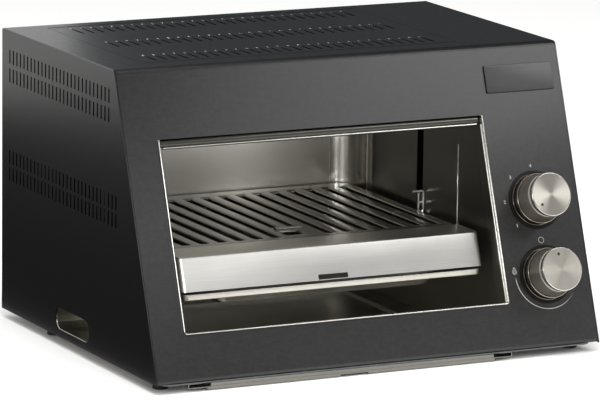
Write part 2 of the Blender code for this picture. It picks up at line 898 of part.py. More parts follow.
def knob(name, axis):
    grip = [(0, grip_back), (grip_radius, grip_back), (grip_radius, grip_height), (0, grip_height)]
    put(f"{name}_grip", turned(grip, knob_sides), knob_steel, axis)
    low = grip_height + seam
    cap = [(0, low), (cap_radius - cap_edge, low), (cap_radius, low + cap_edge),
           (cap_radius, cap_height - cap_edge), (cap_face_radius, cap_height), (0, cap_height)]
    put(f"{name}_cap", turned(cap, knob_sides), brushed_steel, axis)


def spindle(name, depth, axis):
    profile = [(0, -depth), (spindle_radius, -depth), (spindle_radius, grip_back - seam),
               (0, grip_back - seam)]
    put(name, turned(profile, 16), plated_steel, axis)


def gear_outline(radius, tooth, teeth):
    points = []
    for place in range(teeth):
        for share, reach in ((0.0, radius - tooth), (0.3, radius), (0.6, radius),
                             (0.9, radius - tooth)):
            turn = 2 * math.pi * (place + share) / teeth
            points.append((reach * math.cos(turn), reach * math.sin(turn)))
    return points


def height_pinion(axis):
    pinion = put("height_pinion", prism(gear_outline(pinion_radius, gear_tooth, pinion_teeth),
                                        -pinion_back, -pinion_front), plated_steel, axis)
    bore = spindle_radius + seam
    hole = turned([(0, -pinion_back - cut_overrun), (bore, -pinion_back - cut_overrun),
                   (bore, 0), (0, 0)], 16)
    cut(pinion, put("pinion bore", hole, None, axis))


def spindle_bracket():
    low = height_knob_slope - bracket_reach
    high = height_knob_slope + bracket_reach
    back = -casing_sheet - seam
    path = [(low, back), (low, -bracket_depth), (high, -bracket_depth), (high, back)]
    bracket = put("spindle_bracket",
                  prism(sheet_outline(path, bracket_sheet), knob_x - bracket_half_width,
                        knob_x + bracket_half_width, "x"), plated_steel, front_plane)
    bore = spindle_radius + seam
    hole = turned([(0, -bracket_depth - cut_overrun), (bore, -bracket_depth - cut_overrun),
                   (bore, -pinion_back), (0, -pinion_back)], 16,
                  centre=(knob_x, height_knob_slope))
    cut(bracket, put("bracket hole", hole, None, front_plane))


def knobs():
    knob_collar("height_knob_collar", height_knob_slope)
    knob_collar("gas_knob_collar", gas_knob_slope)
    height_axis = empty("height_knob_axis", (knob_x, height_knob_slope, 0), parent=front_plane)
    knob("height_knob", height_axis)
    spindle("height_spindle", height_spindle_end, height_axis)
    height_pinion(height_axis)
    gas_axis = empty("gas_knob_axis", (knob_x, gas_knob_slope, 0), parent=front_plane)
    knob("gas_knob", gas_axis)
    spindle("gas_stem", stem_depth, gas_axis)


gas_valve()
gas_inlet()
gas_pipes()
injector()
knobs()
spindle_bracket()


# Lift: toothed side plates outside the grill space carry rails inside it

lift_front_y = 0.0795
lift_front_low = 0.051
lift_front_high = 0.138
lift_front_width = 0.018
lift_bar_low = 0.100
lift_bar_high = 0.124
lift_web = 0.014
lift_rear_gap = 0.0027
lift_rear_low = 0.005
lift_rear_width = 0.022
rear_teeth_low = 0.030
rear_teeth_high = 0.118
rear_tooth = 0.0024
cross_pinion_radius = 0.010
cross_pinion_teeth = 12
cross_pinion_margin = 0.0010
cross_shaft_radius = 0.0040
cross_shaft_z = 0.110
cross_shaft_overhang = 0.009
bearing_gap = 0.0040
bearing_width = 0.0040
bearing_half_height = 0.012
bearing_front_margin = 0.0035
strip_tooth_margin = 0.006
strip_back_margin = 0.0090
crossbar_sheet = 0.0020
crossbar_height = 0.015
guide_shift = 0.0098
guide_rod_radius = 0.0030
guide_half_width = 0.007
guide_depth = 0.010
guide_height = 0.020
rail_sheet = 0.0012
rail_gap = 0.0010
rail_flange = 0.0172
rail_radius = 0.0018
rail_front_y = 0.112
rail_back_margin = 0.010
rack_thickness = 0.010
pan_flange_z = 0.071
hook_radius = 0.00175
hook_bend = 0.0045
hook_front_reach = 0.0125
hook_back_reach = 0.0150
hook_low = 0.092
hook_high = 0.124

carrier = empty("carrier", parent=appliance)
lift_rear_y = liner_back_y + lift_rear_gap
lining_back_y = hand_hole_front + hand_hole_length + lining_flange
guide_y = (lining_back_y + lift_rear_y) / 2 - guide_shift
rail_back_y = rack_back_y - rail_back_margin
cross_shaft_y = lift_rear_y + seam + cross_pinion_radius
rail_outer = rack_half_width + rail_gap + rail_sheet
rail_top = rack_top_z - rack_thickness - seam
rail_bottom = pan_flange_z - seam - rail_sheet
sides = (("left", -1), ("right", 1))


def side_x(side, out):
    # A distance out from the window's middle, to the left (-1) or to the right (1).
    return window_centre_x + side * out


def side_outline(side, pairs):
    return [(side_x(side, pair[0]), pair[1]) for pair in pairs]


def side_block(side, inner, outer, low_y, high_y, low_z, high_z):
    low_x, high_x = sorted((side_x(side, inner), side_x(side, outer)))
    return block(low_x, high_x, low_y, high_y, low_z, high_z)


def rear_teeth():
    # Points down the rear edge of a side plate.
    pitch = 2 * math.pi * cross_pinion_radius / cross_pinion_teeth
    count = int((rear_teeth_high - rear_teeth_low) / pitch)
    points = []
    for place in range(count):
        top = rear_teeth_high - place * pitch
        root = lift_rear_y - rear_tooth
        points += [(root, top), (lift_rear_y, top - pitch * 0.3),
                   (lift_rear_y, top - pitch * 0.6), (root, top - pitch * 0.9)]
    return points


def lift_plate_outline():
    front_back = lift_front_y + lift_front_width
    rear_front = lift_rear_y - lift_rear_width
    return ([(lift_front_y, lift_front_low), (lift_front_y, lift_front_high),
             (front_back, lift_front_high), (front_back + lift_web, lift_bar_high),
             (lift_rear_y, lift_bar_high), (lift_rear_y, rear_teeth_high)]
            + rear_teeth()
            + [(lift_rear_y, rear_teeth_low), (lift_rear_y, lift_rear_low),
               (rear_front, lift_rear_low), (rear_front, lift_bar_low - lift_web),
               (rear_front - lift_web, lift_bar_low), (front_back + lift_web, lift_bar_low),
               (front_back, lift_bar_low - lift_web), (front_back, lift_front_low)])


def lift_plates():
    for name, side in sides:
        low, high = sorted((side_x(side, plate_inner), side_x(side, plate_outer)))
        put(f"lift_plate_{name}", prism(lift_plate_outline(), low, high, "x"),
            plated_steel, carrier)


def lift_toothed_strip():
    # Its teeth slant like the knob's spindle; their tips stop just short of the pinion.
    middle = from_plane(height_knob_slope, -(pinion_front + pinion_back) / 2)
    high = middle[1] + strip_tooth_margin
    low = middle[1] - lift_travel - strip_tooth_margin
    root = strip_tip_x - gear_tooth
    pitch = 2 * math.pi * pinion_radius / pinion_teeth / math.cos(lean)
    outline = [(strip_back_x, high), (strip_back_x, low)]
    for place in range(int((high - low) / pitch)):
        start = low + place * pitch
        outline += [(root, start), (strip_tip_x, start + pitch * 0.3),
                    (strip_tip_x, start + pitch * 0.6), (root, start + pitch * 0.9)]
    outline.append((root, high))
    drop = strip_back_margin * math.tan(lean)
    loops = [[(x, lift_front_y, z + drop / 2) for x, z in outline],
             [(x, lift_front_y + strip_back_margin, z - drop / 2) for x, z in outline]]
    put("lift_toothed_strip", lofted(loops), plated_steel, carrier)


def lift_crossbar():
    put("lift_crossbar",
        block(side_x(-1, plate_outer), side_x(1, plate_outer), lift_rear_y + seam,
              lift_rear_y + seam + crossbar_sheet, lift_rear_low,
              lift_rear_low + crossbar_height), plated_steel, carrier)


def cross_shaft():
    # A shaft behind the grill space whose two pinions keep both side plates level.
    axis = empty("cross_shaft_axis", (0, cross_shaft_y, cross_shaft_z), parent=appliance)
    teeth = gear_outline(cross_pinion_radius, rear_tooth, cross_pinion_teeth)
    core = circle(cross_shaft_radius, cross_pinion_teeth * 4)
    inner = plate_inner - cross_pinion_margin
    outer = plate_outer + cross_pinion_margin
    end = outer + cross_shaft_overhang
    loops = [loop_at(core, side_x(-1, end), "x")]
    for low, high in ((side_x(-1, outer), side_x(-1, inner)), (side_x(1, inner), side_x(1, outer))):
        loops += [loop_at(core, low, "x"), loop_at(teeth, low, "x"),
                  loop_at(teeth, high, "x"), loop_at(core, high, "x")]
    loops.append(loop_at(core, side_x(1, end), "x"))
    put("cross_shaft", lofted(loops), plated_steel, axis)


def shaft_bearings():
    inner = plate_outer + cross_pinion_margin + bearing_gap
    for name, side in sides:
        mesh = side_block(side, inner, inner + bearing_width, lift_rear_y + bearing_front_margin,
                          casing_depth - casing_sheet - seam, cross_shaft_z - bearing_half_height,
                          cross_shaft_z + bearing_half_height)
        bearing = put(f"shaft_bearing_{name}", mesh, plated_steel, appliance)
        bore = cross_shaft_radius + seam
        ends = sorted((side_x(side, inner - bearing_width), side_x(side, inner + 2 * bearing_width)))
        hole = turned([(0, ends[0]), (bore, ends[0]), (bore, ends[1]), (0, ends[1])], 20, "x",
                      (cross_shaft_y, cross_shaft_z))
        cut(bearing, put("bearing bore", hole, None, appliance))


def lift_guides():
    rod = plate_outer + seam + guide_depth / 2
    for name, side in sides:
        put(f"guide_rod_{name}",
            turned([(0, 0), (guide_rod_radius, 0), (guide_rod_radius, liner_height),
                    (0, liner_height)], 16, centre=(side_x(side, rod), guide_y)),
            bright_steel, appliance)
        low = (lift_bar_low + lift_bar_high - guide_height) / 2
        mesh = side_block(side, plate_outer + seam, plate_outer + seam + guide_depth,
                          guide_y - guide_half_width, guide_y + guide_half_width,
                          low, low + guide_height)
        shoe = put(f"guide_shoe_{name}", mesh, brass, carrier)
        bore = guide_rod_radius + seam
        hole = turned([(0, low - cut_overrun), (bore, low - cut_overrun),
                       (bore, low + guide_height + cut_overrun),
                       (0, low + guide_height + cut_overrun)], 16,
                      centre=(side_x(side, rod), guide_y))
        cut(shoe, put("guide bore", hole, None, carrier))


def rack_rails():
    for name, side in sides:
        path = rounded([(rail_outer - rail_flange, rail_bottom), (rail_outer, rail_bottom),
                        (rail_outer, rail_top), (rail_outer - rail_flange, rail_top)],
                       rail_radius, steps=2, closed=False)
        put(f"rack_rail_{name}",
            prism(side_outline(side, sheet_outline(path, rail_sheet)), rail_front_y, rail_back_y,
                  "y"), bright_steel, carrier)


def lift_hooks():
    # A bent wire stands beside each rail and reaches out through the wall to the side plate.
    wire = rail_outer + seam + hook_radius
    arm_y = lift_slot_y
    for name, side in sides:
        x = side_x(side, wire)
        pipe(f"lift_hook_{name}",
             [(x, arm_y + hook_back_reach, hook_high), (x, arm_y - hook_front_reach, hook_high),
              (x, arm_y - hook_front_reach, hook_low), (x, arm_y, hook_low), (x, arm_y, hook_arm_z),
              (side_x(side, plate_inner - seam), arm_y, hook_arm_z)],
             hook_radius, bright_steel, carrier, hook_bend)


lift_plates()
lift_toothed_strip()
lift_crossbar()
cross_shaft()
shaft_bearings()
lift_guides()
rack_rails()
lift_hooks()


# Rack with its steel apron, which slides out of the rails toward the cook

rack_slot_margin = 0.0200
rack_slot_pitch = 0.0195
rack_slot_width = 0.0095
rack_slot_front_margin = 0.012
rack_slot_back_margin = 0.015
rack_slot_radius = 0.0042
rack_slot_shift = -0.0021
rack_front_radius = 0.004
rack_back_radius = 0.014
grip_hole_shift = -0.0049
grip_hole_width = 0.020
grip_hole_front_margin = 0.020
grip_hole_length = 0.021
grip_bridge_length = 0.019
rack_rib_margin = 0.059
rack_rib_width = 0.008
rack_rib_depth = 0.004
apron_side_gap = 0.00175
apron_low = 0.0793
apron_high = 0.1125
apron_sheet = 0.0012
apron_radius = 0.006
apron_edge = 0.0015
apron_back_radius = 0.0015
apron_slot_shift = 0.0004
apron_slot_width = 0.0333
apron_slot_rise = 0.0008
apron_slot_height = 0.0041

grip_hole_left = window_centre_x + grip_hole_shift - grip_hole_width / 2
grip_hole_right = grip_hole_left + grip_hole_width
grip_hole_front = rack_front_y + grip_hole_front_margin
grip_hole_back = grip_hole_front + grip_hole_length
grip_bridge_back = grip_hole_back + grip_bridge_length
rack_rib_y = rack_back_y - rack_rib_margin
apron_half_width = rack_half_width - apron_side_gap

rack_slide = empty("rack_slide", parent=carrier)


def grill_rack():
    edge = rounded(rectangle(window_centre_x - rack_half_width, window_centre_x + rack_half_width,
                             rack_front_y, rack_back_y),
                   [rack_front_radius, rack_front_radius, rack_back_radius, rack_back_radius],
                   steps=2)
    rack = put("grill_rack", prism(edge, rack_top_z - rack_thickness, rack_top_z),
               rack_steel, rack_slide)
    rib = put("rack rib", block(window_centre_x - rack_half_width + rail_flange,
                                window_centre_x + rack_half_width - rail_flange,
                                rack_rib_y - rack_rib_width / 2, rack_rib_y + rack_rib_width / 2,
                                rack_top_z - rack_thickness - rack_rib_depth,
                                rack_top_z - rack_thickness / 2), None, rack_slide)
    slot_count = int(2 * (rack_half_width - rack_slot_margin) / rack_slot_pitch) + 1
    for place in range(slot_count):
        x = window_centre_x + rack_slot_shift + (place - (slot_count - 1) / 2) * rack_slot_pitch
        beside_hole = grip_hole_left - rack_slot_width / 2 < x < grip_hole_right + rack_slot_width / 2
        front = grip_bridge_back if beside_hole else rack_front_y + rack_slot_front_margin
        outline = rounded(rectangle(x - rack_slot_width / 2, x + rack_slot_width / 2, front,
                                    rack_back_y - rack_slot_back_margin),
                          rack_slot_radius, steps=2)
        slot = put("rack slot", prism(outline, 0, casing_height), None, rack_slide)
        cut(rack, slot)
    hole = put("rack grip hole", block(grip_hole_left, grip_hole_right, grip_hole_front,
                                       grip_hole_back, 0, casing_height), None, rack_slide)
    cut(rack, hole)
    join(rack, rib)


def sloped_y(z, out):
    return z * math.tan(lean) - out / math.cos(lean)


def apron_loop(z, inset):
    # A closed plan of the apron at height z; its hidden back side is cut away afterwards.
    front = sloped_y(z, -apron_depth) + inset
    back = rack_front_y + cut_overrun - inset
    corner = max(apron_radius - inset, apron_edge)
    return loop_at(rounded(rectangle(window_centre_x - apron_half_width + inset,
                                     window_centre_x + apron_half_width - inset, front, back),
                           [corner, corner, apron_back_radius, apron_back_radius], steps=3), z, "z")


def rack_apron():
    loops = [apron_loop(apron_high - apron_sheet, apron_sheet), apron_loop(apron_low, apron_sheet),
             apron_loop(apron_low, 0), apron_loop(apron_high - apron_edge, 0),
             apron_loop(apron_high, apron_edge)]
    apron = put("rack_apron", lofted(loops), brushed_steel, rack_slide)
    behind = put("apron back cut",
                 block(-casing_width, casing_width, rack_front_y - seam, casing_depth,
                       0, casing_height), None, rack_slide)
    slot_x = window_centre_x + apron_slot_shift
    slot_low = (apron_low + apron_slot_rise + apron_depth * math.sin(lean)) / math.cos(lean)
    finger = put("apron finger slot",
                 block(slot_x - apron_slot_width / 2, slot_x + apron_slot_width / 2,
                       slot_low, slot_low + apron_slot_height,
                       -apron_depth - cut_overrun, -apron_depth + cut_overrun),
                 None, empty("apron_plane", turn_x=math.pi / 2 - lean, parent=rack_slide))
    cut(apron, behind, finger)


# Drip pan on the rails' lower flanges

pan_side_gap = 0.003
pan_flange = 0.040
pan_floor_inset = 0.008
pan_front_y = 0.0495
pan_back_margin = 0.008
pan_front_flange = 0.0165
pan_back_flange = 0.012
pan_body_slope = 0.004
pan_floor_z = 0.0605
pan_rim_top = 0.077
pan_sheet = 0.0010
pan_radius = 0.012
pan_rim_radius = 0.005

pan_half_width = rack_half_width - pan_side_gap
pan_body_half_width = pan_half_width - pan_flange
pan_floor_half_width = pan_body_half_width - pan_floor_inset
pan_back_y = rack_back_y - pan_back_margin
pan_body_front = pan_front_y + pan_front_flange
pan_body_back = pan_back_y - pan_back_flange

pan_slide = empty("pan_slide", parent=carrier)


def pan_loop(half, front, back, radius, z):
    return loop_at(rounded(rectangle(window_centre_x - half, window_centre_x + half, front, back),
                           radius), z, "z")


def drip_pan():
    inner = pan_sheet
    flange_top = pan_flange_z + pan_sheet
    loops = [pan_loop(pan_floor_half_width, pan_body_front + pan_body_slope,
                      pan_body_back - pan_body_slope, pan_radius, pan_floor_z),
             pan_loop(pan_body_half_width, pan_body_front, pan_body_back, pan_radius, pan_flange_z),
             pan_loop(pan_half_width, pan_front_y, pan_back_y, pan_rim_radius, pan_flange_z),
             pan_loop(pan_half_width, pan_front_y, pan_back_y, pan_rim_radius, pan_rim_top),
             pan_loop(pan_half_width - inner, pan_front_y + inner, pan_back_y - inner,
                      pan_rim_radius - inner, pan_rim_top),
             pan_loop(pan_half_width - inner, pan_front_y + inner, pan_back_y - inner,
                      pan_rim_radius - inner, flange_top),
             pan_loop(pan_body_half_width - inner, pan_body_front + inner, pan_body_back - inner,
                      pan_radius - inner, flange_top),
             pan_loop(pan_floor_half_width - inner, pan_body_front + pan_body_slope + inner,
                      pan_body_back - pan_body_slope - inner, pan_radius - inner,
                      pan_floor_z + inner)]
    put("drip_pan", lofted(loops), brushed_steel, pan_slide)


# Crumb drawer in its two channels under the base

runner_side_margin = 0.019
runner_width = 0.014
runner_sheet = 0.0008
runner_height = 0.0052
runner_front_y = 0.006
runner_back_margin = 0.018
runner_radius = 0.0010
drawer_front_y = 0.003
drawer_back_margin = 0.024
drawer_floor_z = -0.0090
drawer_sheet = 0.0008
drawer_rim_reach = 0.015
drawer_rim_end = 0.001
drawer_radius = 0.004
drawer_notch_width = 0.031
drawer_notch_height = 0.0018
drawer_notch_depth = 0.008

runner_outer = drawer_half_width + runner_side_margin
runner_back_y = casing_depth - runner_back_margin
drawer_back_y = casing_depth - drawer_back_margin

drawer_slide = empty("drawer_slide", parent=appliance)
runner_top = base_bottom - seam
runner_low = runner_top - runner_height
drawer_rim_z = runner_low + runner_sheet + seam


def drawer_runners():
    for name, side in sides:
        path = rounded([(runner_outer - runner_width, runner_low), (runner_outer, runner_low),
                        (runner_outer, runner_top), (runner_outer - runner_width, runner_top)],
                       runner_radius, steps=2, closed=False)
        put(f"drawer_runner_{name}",
            prism(side_outline(side, sheet_outline(path, runner_sheet)), runner_front_y,
                  runner_back_y, "y"), bright_steel, appliance)


def drawer_loop(reach, ends, z, radius=drawer_radius):
    half = drawer_half_width + reach
    return loop_at(rounded(rectangle(window_centre_x - half, window_centre_x + half,
                                     drawer_front_y - ends, drawer_back_y + ends), radius), z, "z")


def crumb_drawer():
    inner = -drawer_sheet
    rim_top = drawer_rim_z + drawer_sheet
    loops = [drawer_loop(0, 0, drawer_floor_z), drawer_loop(0, 0, drawer_rim_z),
             drawer_loop(drawer_rim_reach, drawer_rim_end, drawer_rim_z),
             drawer_loop(drawer_rim_reach, drawer_rim_end, rim_top),
             drawer_loop(inner, inner, rim_top), drawer_loop(inner, inner, drawer_floor_z - inner)]
    drawer = put("crumb_drawer", lofted(loops), brushed_steel, drawer_slide)
    face = put("drawer face",
               block(window_centre_x - drawer_half_width + drawer_radius,
                     window_centre_x + drawer_half_width - drawer_radius,
                     drawer_front_y - drawer_rim_end / 2, drawer_front_y + drawer_sheet,
                     drawer_floor_z + drawer_sheet / 2, base_bottom - seam), None, drawer_slide)
    notch = put("drawer notch",
                block(window_centre_x - drawer_notch_width / 2,
                      window_centre_x + drawer_notch_width / 2, drawer_front_y - cut_overrun,
                      drawer_front_y + drawer_notch_depth, drawer_floor_z - cut_overrun,
                      drawer_floor_z + drawer_notch_height), None, drawer_slide)
    join(drawer, face)
    cut(drawer, notch)


grill_rack()
rack_apron()
drip_pan()
drawer_runners()
crumb_drawer()
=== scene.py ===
# Top-heat grill with a lifting rack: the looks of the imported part. Metres; the front faces -Y.

import math

import bmesh
import bpy
import numpy as np
from mathutils import Matrix, Vector


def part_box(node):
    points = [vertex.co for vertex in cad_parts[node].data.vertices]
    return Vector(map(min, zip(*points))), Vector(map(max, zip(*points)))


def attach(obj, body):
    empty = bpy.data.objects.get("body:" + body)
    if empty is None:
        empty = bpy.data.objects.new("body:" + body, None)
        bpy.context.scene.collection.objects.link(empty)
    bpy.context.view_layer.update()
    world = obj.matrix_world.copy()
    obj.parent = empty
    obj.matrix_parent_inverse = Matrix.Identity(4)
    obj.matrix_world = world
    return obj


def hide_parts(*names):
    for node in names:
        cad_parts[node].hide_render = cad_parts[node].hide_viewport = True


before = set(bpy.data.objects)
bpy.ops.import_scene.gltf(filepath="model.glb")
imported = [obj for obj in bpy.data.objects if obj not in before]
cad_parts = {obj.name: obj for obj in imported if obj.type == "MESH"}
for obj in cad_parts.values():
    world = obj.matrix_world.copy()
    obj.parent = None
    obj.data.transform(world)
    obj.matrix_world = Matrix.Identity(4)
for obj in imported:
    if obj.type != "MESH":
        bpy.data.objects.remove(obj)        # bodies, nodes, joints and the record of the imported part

scene = bpy.context.scene
scene.view_settings.view_transform = "Standard"
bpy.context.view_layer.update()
mm = 0.001
weld = 0.002 * mm        # points closer than this become one
sharp = 0.001 * mm       # a corner's radius where it only has to match a rounded one's points
bothSides = (("left", -1), ("right", 1))


def metres(**sizes):
    # Sizes named in millimetres, alone or in a tuple, times a thousandth.
    return {name: tuple(one * mm for one in size) if isinstance(size, tuple) else size * mm
            for name, size in sizes.items()}


# The casing's own corner and slope, read from the frame
shellLow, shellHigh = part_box("casing_shell")
casing = {
    "frontY": shellLow[1], "lowZ": shellLow[2], "halfWidth": shellHigh[0],
    "depth": shellHigh[1] - shellLow[1], "height": shellHigh[2] - shellLow[2],
    "setback": 107.4 * mm,
}
lean = math.atan2(casing["setback"], casing["height"])
sinLean, cosLean = math.sin(lean), math.cos(lean)
slopeLength = math.hypot(casing["height"], casing["setback"])
print("frame loaded, casing", round(casing["height"], 4), "m high")


def newObject(name, data):
    # An object made from its data and put in the scene.
    made = bpy.data.objects.new(name, data)
    scene.collection.objects.link(made)
    return made


# Camera first: where the photograph was taken from

cameraSet = {
    "place": (-2.1920, -4.3922, 1.1153), "forward": (0.43857, 0.87734, -0.19475),
    "up": (0.07474, 0.18035, 0.98076), "lens": 290.16, "sensor": 36.0, "reach": 60,
}


def makeCamera(s):
    # The camera's axes are right = forward x up, up, and -forward.
    forward = Vector(s["forward"]).normalized()
    right = forward.cross(Vector(s["up"])).normalized()
    up = right.cross(forward)
    data = bpy.data.cameras.new("photo camera")
    data.lens, data.sensor_width, data.sensor_fit = s["lens"], s["sensor"], "HORIZONTAL"
    data.clip_end = s["reach"]
    scene.camera = newObject("photo camera", data)
    turn = Matrix((right, up, -forward)).transposed().to_4x4()
    scene.camera.matrix_world = Matrix.Translation(s["place"]) @ turn


makeCamera(cameraSet)
print("camera set")


# Surfaces worked out as whole arrays

def casingPoint(x, y, z):
    # A point measured from the middle of the casing's front bottom edge.
    return np.stack(np.broadcast_arrays(np.asarray(x, float), y + casing["frontY"],
                                        z + casing["lowZ"]), -1)


def frontPoint(x, slope, out):
    # A point this far up the sloping front and this far out from it.
    return casingPoint(x, slope * sinLean - out * cosLean, slope * cosLean + out * sinLean)


def gridFaces(rows, columns, closeRows, closeColumns):
    # Quads between neighbours of a rows x columns grid; a closed way wraps round.
    row = np.arange(rows if closeRows else rows - 1)[:, None]
    column = np.arange(columns if closeColumns else columns - 1)[None, :]
    nextRow, nextColumn = (row + 1) % rows, (column + 1) % columns
    corners = [row * columns + column, row * columns + nextColumn,
               nextRow * columns + nextColumn, nextRow * columns + column]
    return np.stack(np.broadcast_arrays(*corners), -1).reshape(-1, 4)


def surface(points, closeRows=False, closeColumns=False, caps=False):
    # A grid of points (rows, columns, 3) with its quads; caps close the first and last row.
    rows, columns = points.shape[:2]
    faces = gridFaces(rows, columns, closeRows, closeColumns).tolist()
    if caps:
        faces.append(list(range(columns))[::-1])
        faces.append(list(range((rows - 1) * columns, rows * columns)))
    return points.reshape(-1, 3), faces


def solid(points):
    # A grid whose columns close round and whose two ends are capped.
    return surface(points, closeColumns=True, caps=True)


def joinedMesh(name, surfaces):
    # Surfaces put together, their doubles merged and every face turned outward.
    points, faces, start = [], [], 0
    for grid, quads in surfaces:
        points.append(grid)
        faces += [[corner + start for corner in quad] for quad in quads]
        start += len(grid)
    data = bpy.data.meshes.new(name)
    data.from_pydata(np.concatenate(points).tolist(), [], faces)
    shell = bmesh.new()
    shell.from_mesh(data)
    bmesh.ops.remove_doubles(shell, verts=shell.verts, dist=weld)
    bmesh.ops.recalc_face_normals(shell, faces=shell.faces)
    shell.to_mesh(data)
    shell.free()
    return data


def piece(name, surfaces, finish, body, replaced=(), angle=35.0):
    # One object at the origin, smooth but for edges past the angle, riding on its body.
    data = joinedMesh(name, surfaces)
    data.shade_smooth()
    data.set_sharp_from_angle(angle=math.radians(angle))
    data.materials.append(finish)
    made = newObject(name, data)
    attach(made, body)
    if replaced:
        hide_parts(*replaced)
    return made


def bakedMesh(thing):
    # An object's mesh with its modifiers, or its text, worked out.
    bpy.context.view_layer.update()
    graph = bpy.context.evaluated_depsgraph_get()
    return bpy.data.meshes.new_from_object(thing.evaluated_get(graph))


def meshPoints(data):
    # A mesh's points as rows of x, y and z.
    spots = np.empty(len(data.vertices) * 3)
    data.vertices.foreach_get("co", spots)
    return spots.reshape(-1, 3)


def arc(middle, radii, start, end, count):
    # Points of an ellipse between two angles in degrees: (x + a cos t, y + b sin t).
    turn = np.radians(np.linspace(start, end, count))
    wide, high = np.broadcast_to(radii, 2)
    return np.stack([middle[0] + wide * np.cos(turn), middle[1] + high * np.sin(turn)], -1)


def roundedPath(corners, radius, steps=6, closed=True):
    # Each corner, in the plane or in space, becomes an arc: its middle lies on the bisector.
    corners = np.asarray(corners, float)
    count = len(corners)
    radii = np.broadcast_to(np.asarray(radius, float), (count,))
    made = []
    for place in range(count):
        if radii[place] <= 0 or (not closed and place in (0, count - 1)):
            made.append(corners[place][None])
            continue
        back = corners[place - 1] - corners[place]
        ahead = corners[(place + 1) % count] - corners[place]
        back, ahead = back / np.linalg.norm(back), ahead / np.linalg.norm(ahead)
        half = math.acos(np.clip(back @ ahead, -1, 1)) / 2
        bisector = (back + ahead) / np.linalg.norm(back + ahead)
        middle = corners[place] + bisector * radii[place] / math.sin(half)
        reach = radii[place] / math.tan(half)
        first = corners[place] + back * reach - middle
        last = corners[place] + ahead * reach - middle
        sweep = math.pi - 2 * half
        share = np.linspace(0, 1, steps + 1)[:, None]
        made.append(middle + (np.sin((1 - share) * sweep) * first
                              + np.sin(share * sweep) * last) / math.sin(sweep))
    return np.concatenate(made)


def rectangle(box, inset=0.0):
    # The corners of (low a, high a, low b, high b), each side drawn in by the inset.
    lowA, highA, lowB, highB = box[0] + inset, box[1] - inset, box[2] + inset, box[3] - inset
    return [(lowA, lowB), (highA, lowB), (highA, highB), (lowA, highB)]


def outlineRow(place, box, inset, radius, level, steps=6):
    # A rounded rectangle at one height of the casing, or at one distance out from the front.
    line = roundedPath(rectangle(box, inset), radius, steps)
    return place(line[:, 0], line[:, 1], level)


def extruded(place, section, ends, way):
    # A section carried straight between two ends along one way (0, 1 or 2) of a place.
    ways = [section[None, :, 0], section[None, :, 1]]
    ways.insert(way, np.asarray(ends, float)[:, None])
    return solid(place(*ways))


def sheetSection(path, thickness):
    # A bent sheet's section: the path, and back along its parallel on the left-hand side.
    path = np.asarray(path, float)
    step = np.diff(path, axis=0)
    step /= np.linalg.norm(step, axis=1)[:, None]
    before = np.vstack([step[:1], step])
    after = np.vstack([step, step[-1:]])
    normal = np.stack([-(before + after)[:, 1], (before + after)[:, 0]], -1)
    normal /= np.linalg.norm(normal, axis=1)[:, None]
    stretch = np.sum(normal * np.stack([-before[:, 1], before[:, 0]], -1), axis=1)
    return np.vstack([path, (path + normal * (thickness / stretch)[:, None])[::-1]])


def latheGrid(profile, sides):
    # A profile of (radius, height) swung round: x = r cos a, y = r sin a, z = height.
    profile = np.asarray(profile, float)
    angle = np.linspace(0, 2 * math.pi, sides, endpoint=False)
    x = profile[:, :1] * np.cos(angle)
    y = profile[:, :1] * np.sin(angle)
    return np.stack([x, y, np.broadcast_to(profile[:, 1:2], x.shape)], -1)


def tube(path, radius, sides=14):
    # A circle carried along a path, its axes turned on from point to point.
    tangent = np.gradient(path, axis=0)
    tangent /= np.linalg.norm(tangent, axis=1)[:, None]
    across = np.zeros_like(path)
    start = np.cross(tangent[0], (0.31, 0.52, 0.79))
    across[0] = start / np.linalg.norm(start)
    for place in range(1, len(path)):
        here = across[place - 1] - tangent[place] * (across[place - 1] @ tangent[place])
        across[place] = here / np.linalg.norm(here)
    other = np.cross(tangent, across)
    angle = np.linspace(0, 2 * math.pi, sides, endpoint=False)[None, :, None]
    return solid(path[:, None] + radius * (np.cos(angle) * across[:, None]
                                           + np.sin(angle) * other[:, None]))


# Materials

def toLinear(colour):
    # "#rrggbb" in sRGB becomes a linear colour.
    parts = [int(colour[place:place + 2], 16) / 255 for place in (1, 3, 5)]
    return (*[part / 12.92 if part <= 0.04045 else ((part + 0.055) / 1.055) ** 2.4
              for part in parts], 1.0)


def addNode(tree, kind, inputs, **settings):
    # Adds a node: settings first, then inputs that are values or another node's output.
    node = tree.nodes.new(kind)
    for key, value in settings.items():
        setattr(node, key, value)
    for key, value in inputs.items():
        if isinstance(value, bpy.types.NodeSocket):
            tree.links.new(value, node.inputs[key])
        else:
            node.inputs[key].default_value = value
    return node


def newMaterial(name):
    # A material whose node tree is still empty.
    made = bpy.data.materials.new(name)
    made.use_nodes = True
    made.node_tree.nodes.clear()
    return made, made.node_tree


def toneAndRoughness(tree, share, tones, rough):
    # A share from 0 to 1 mixes the two tones and moves the roughness between its two values.
    colour = addNode(tree, "ShaderNodeMix", {0: share, 6: toLinear(tones[0]),
                                             7: toLinear(tones[1])}, data_type="RGBA")
    dullness = addNode(tree, "ShaderNodeMapRange", {"Value": share, "To Min": rough[0],
                                                    "To Max": rough[1]})
    return colour.outputs[2], dullness.outputs[0]


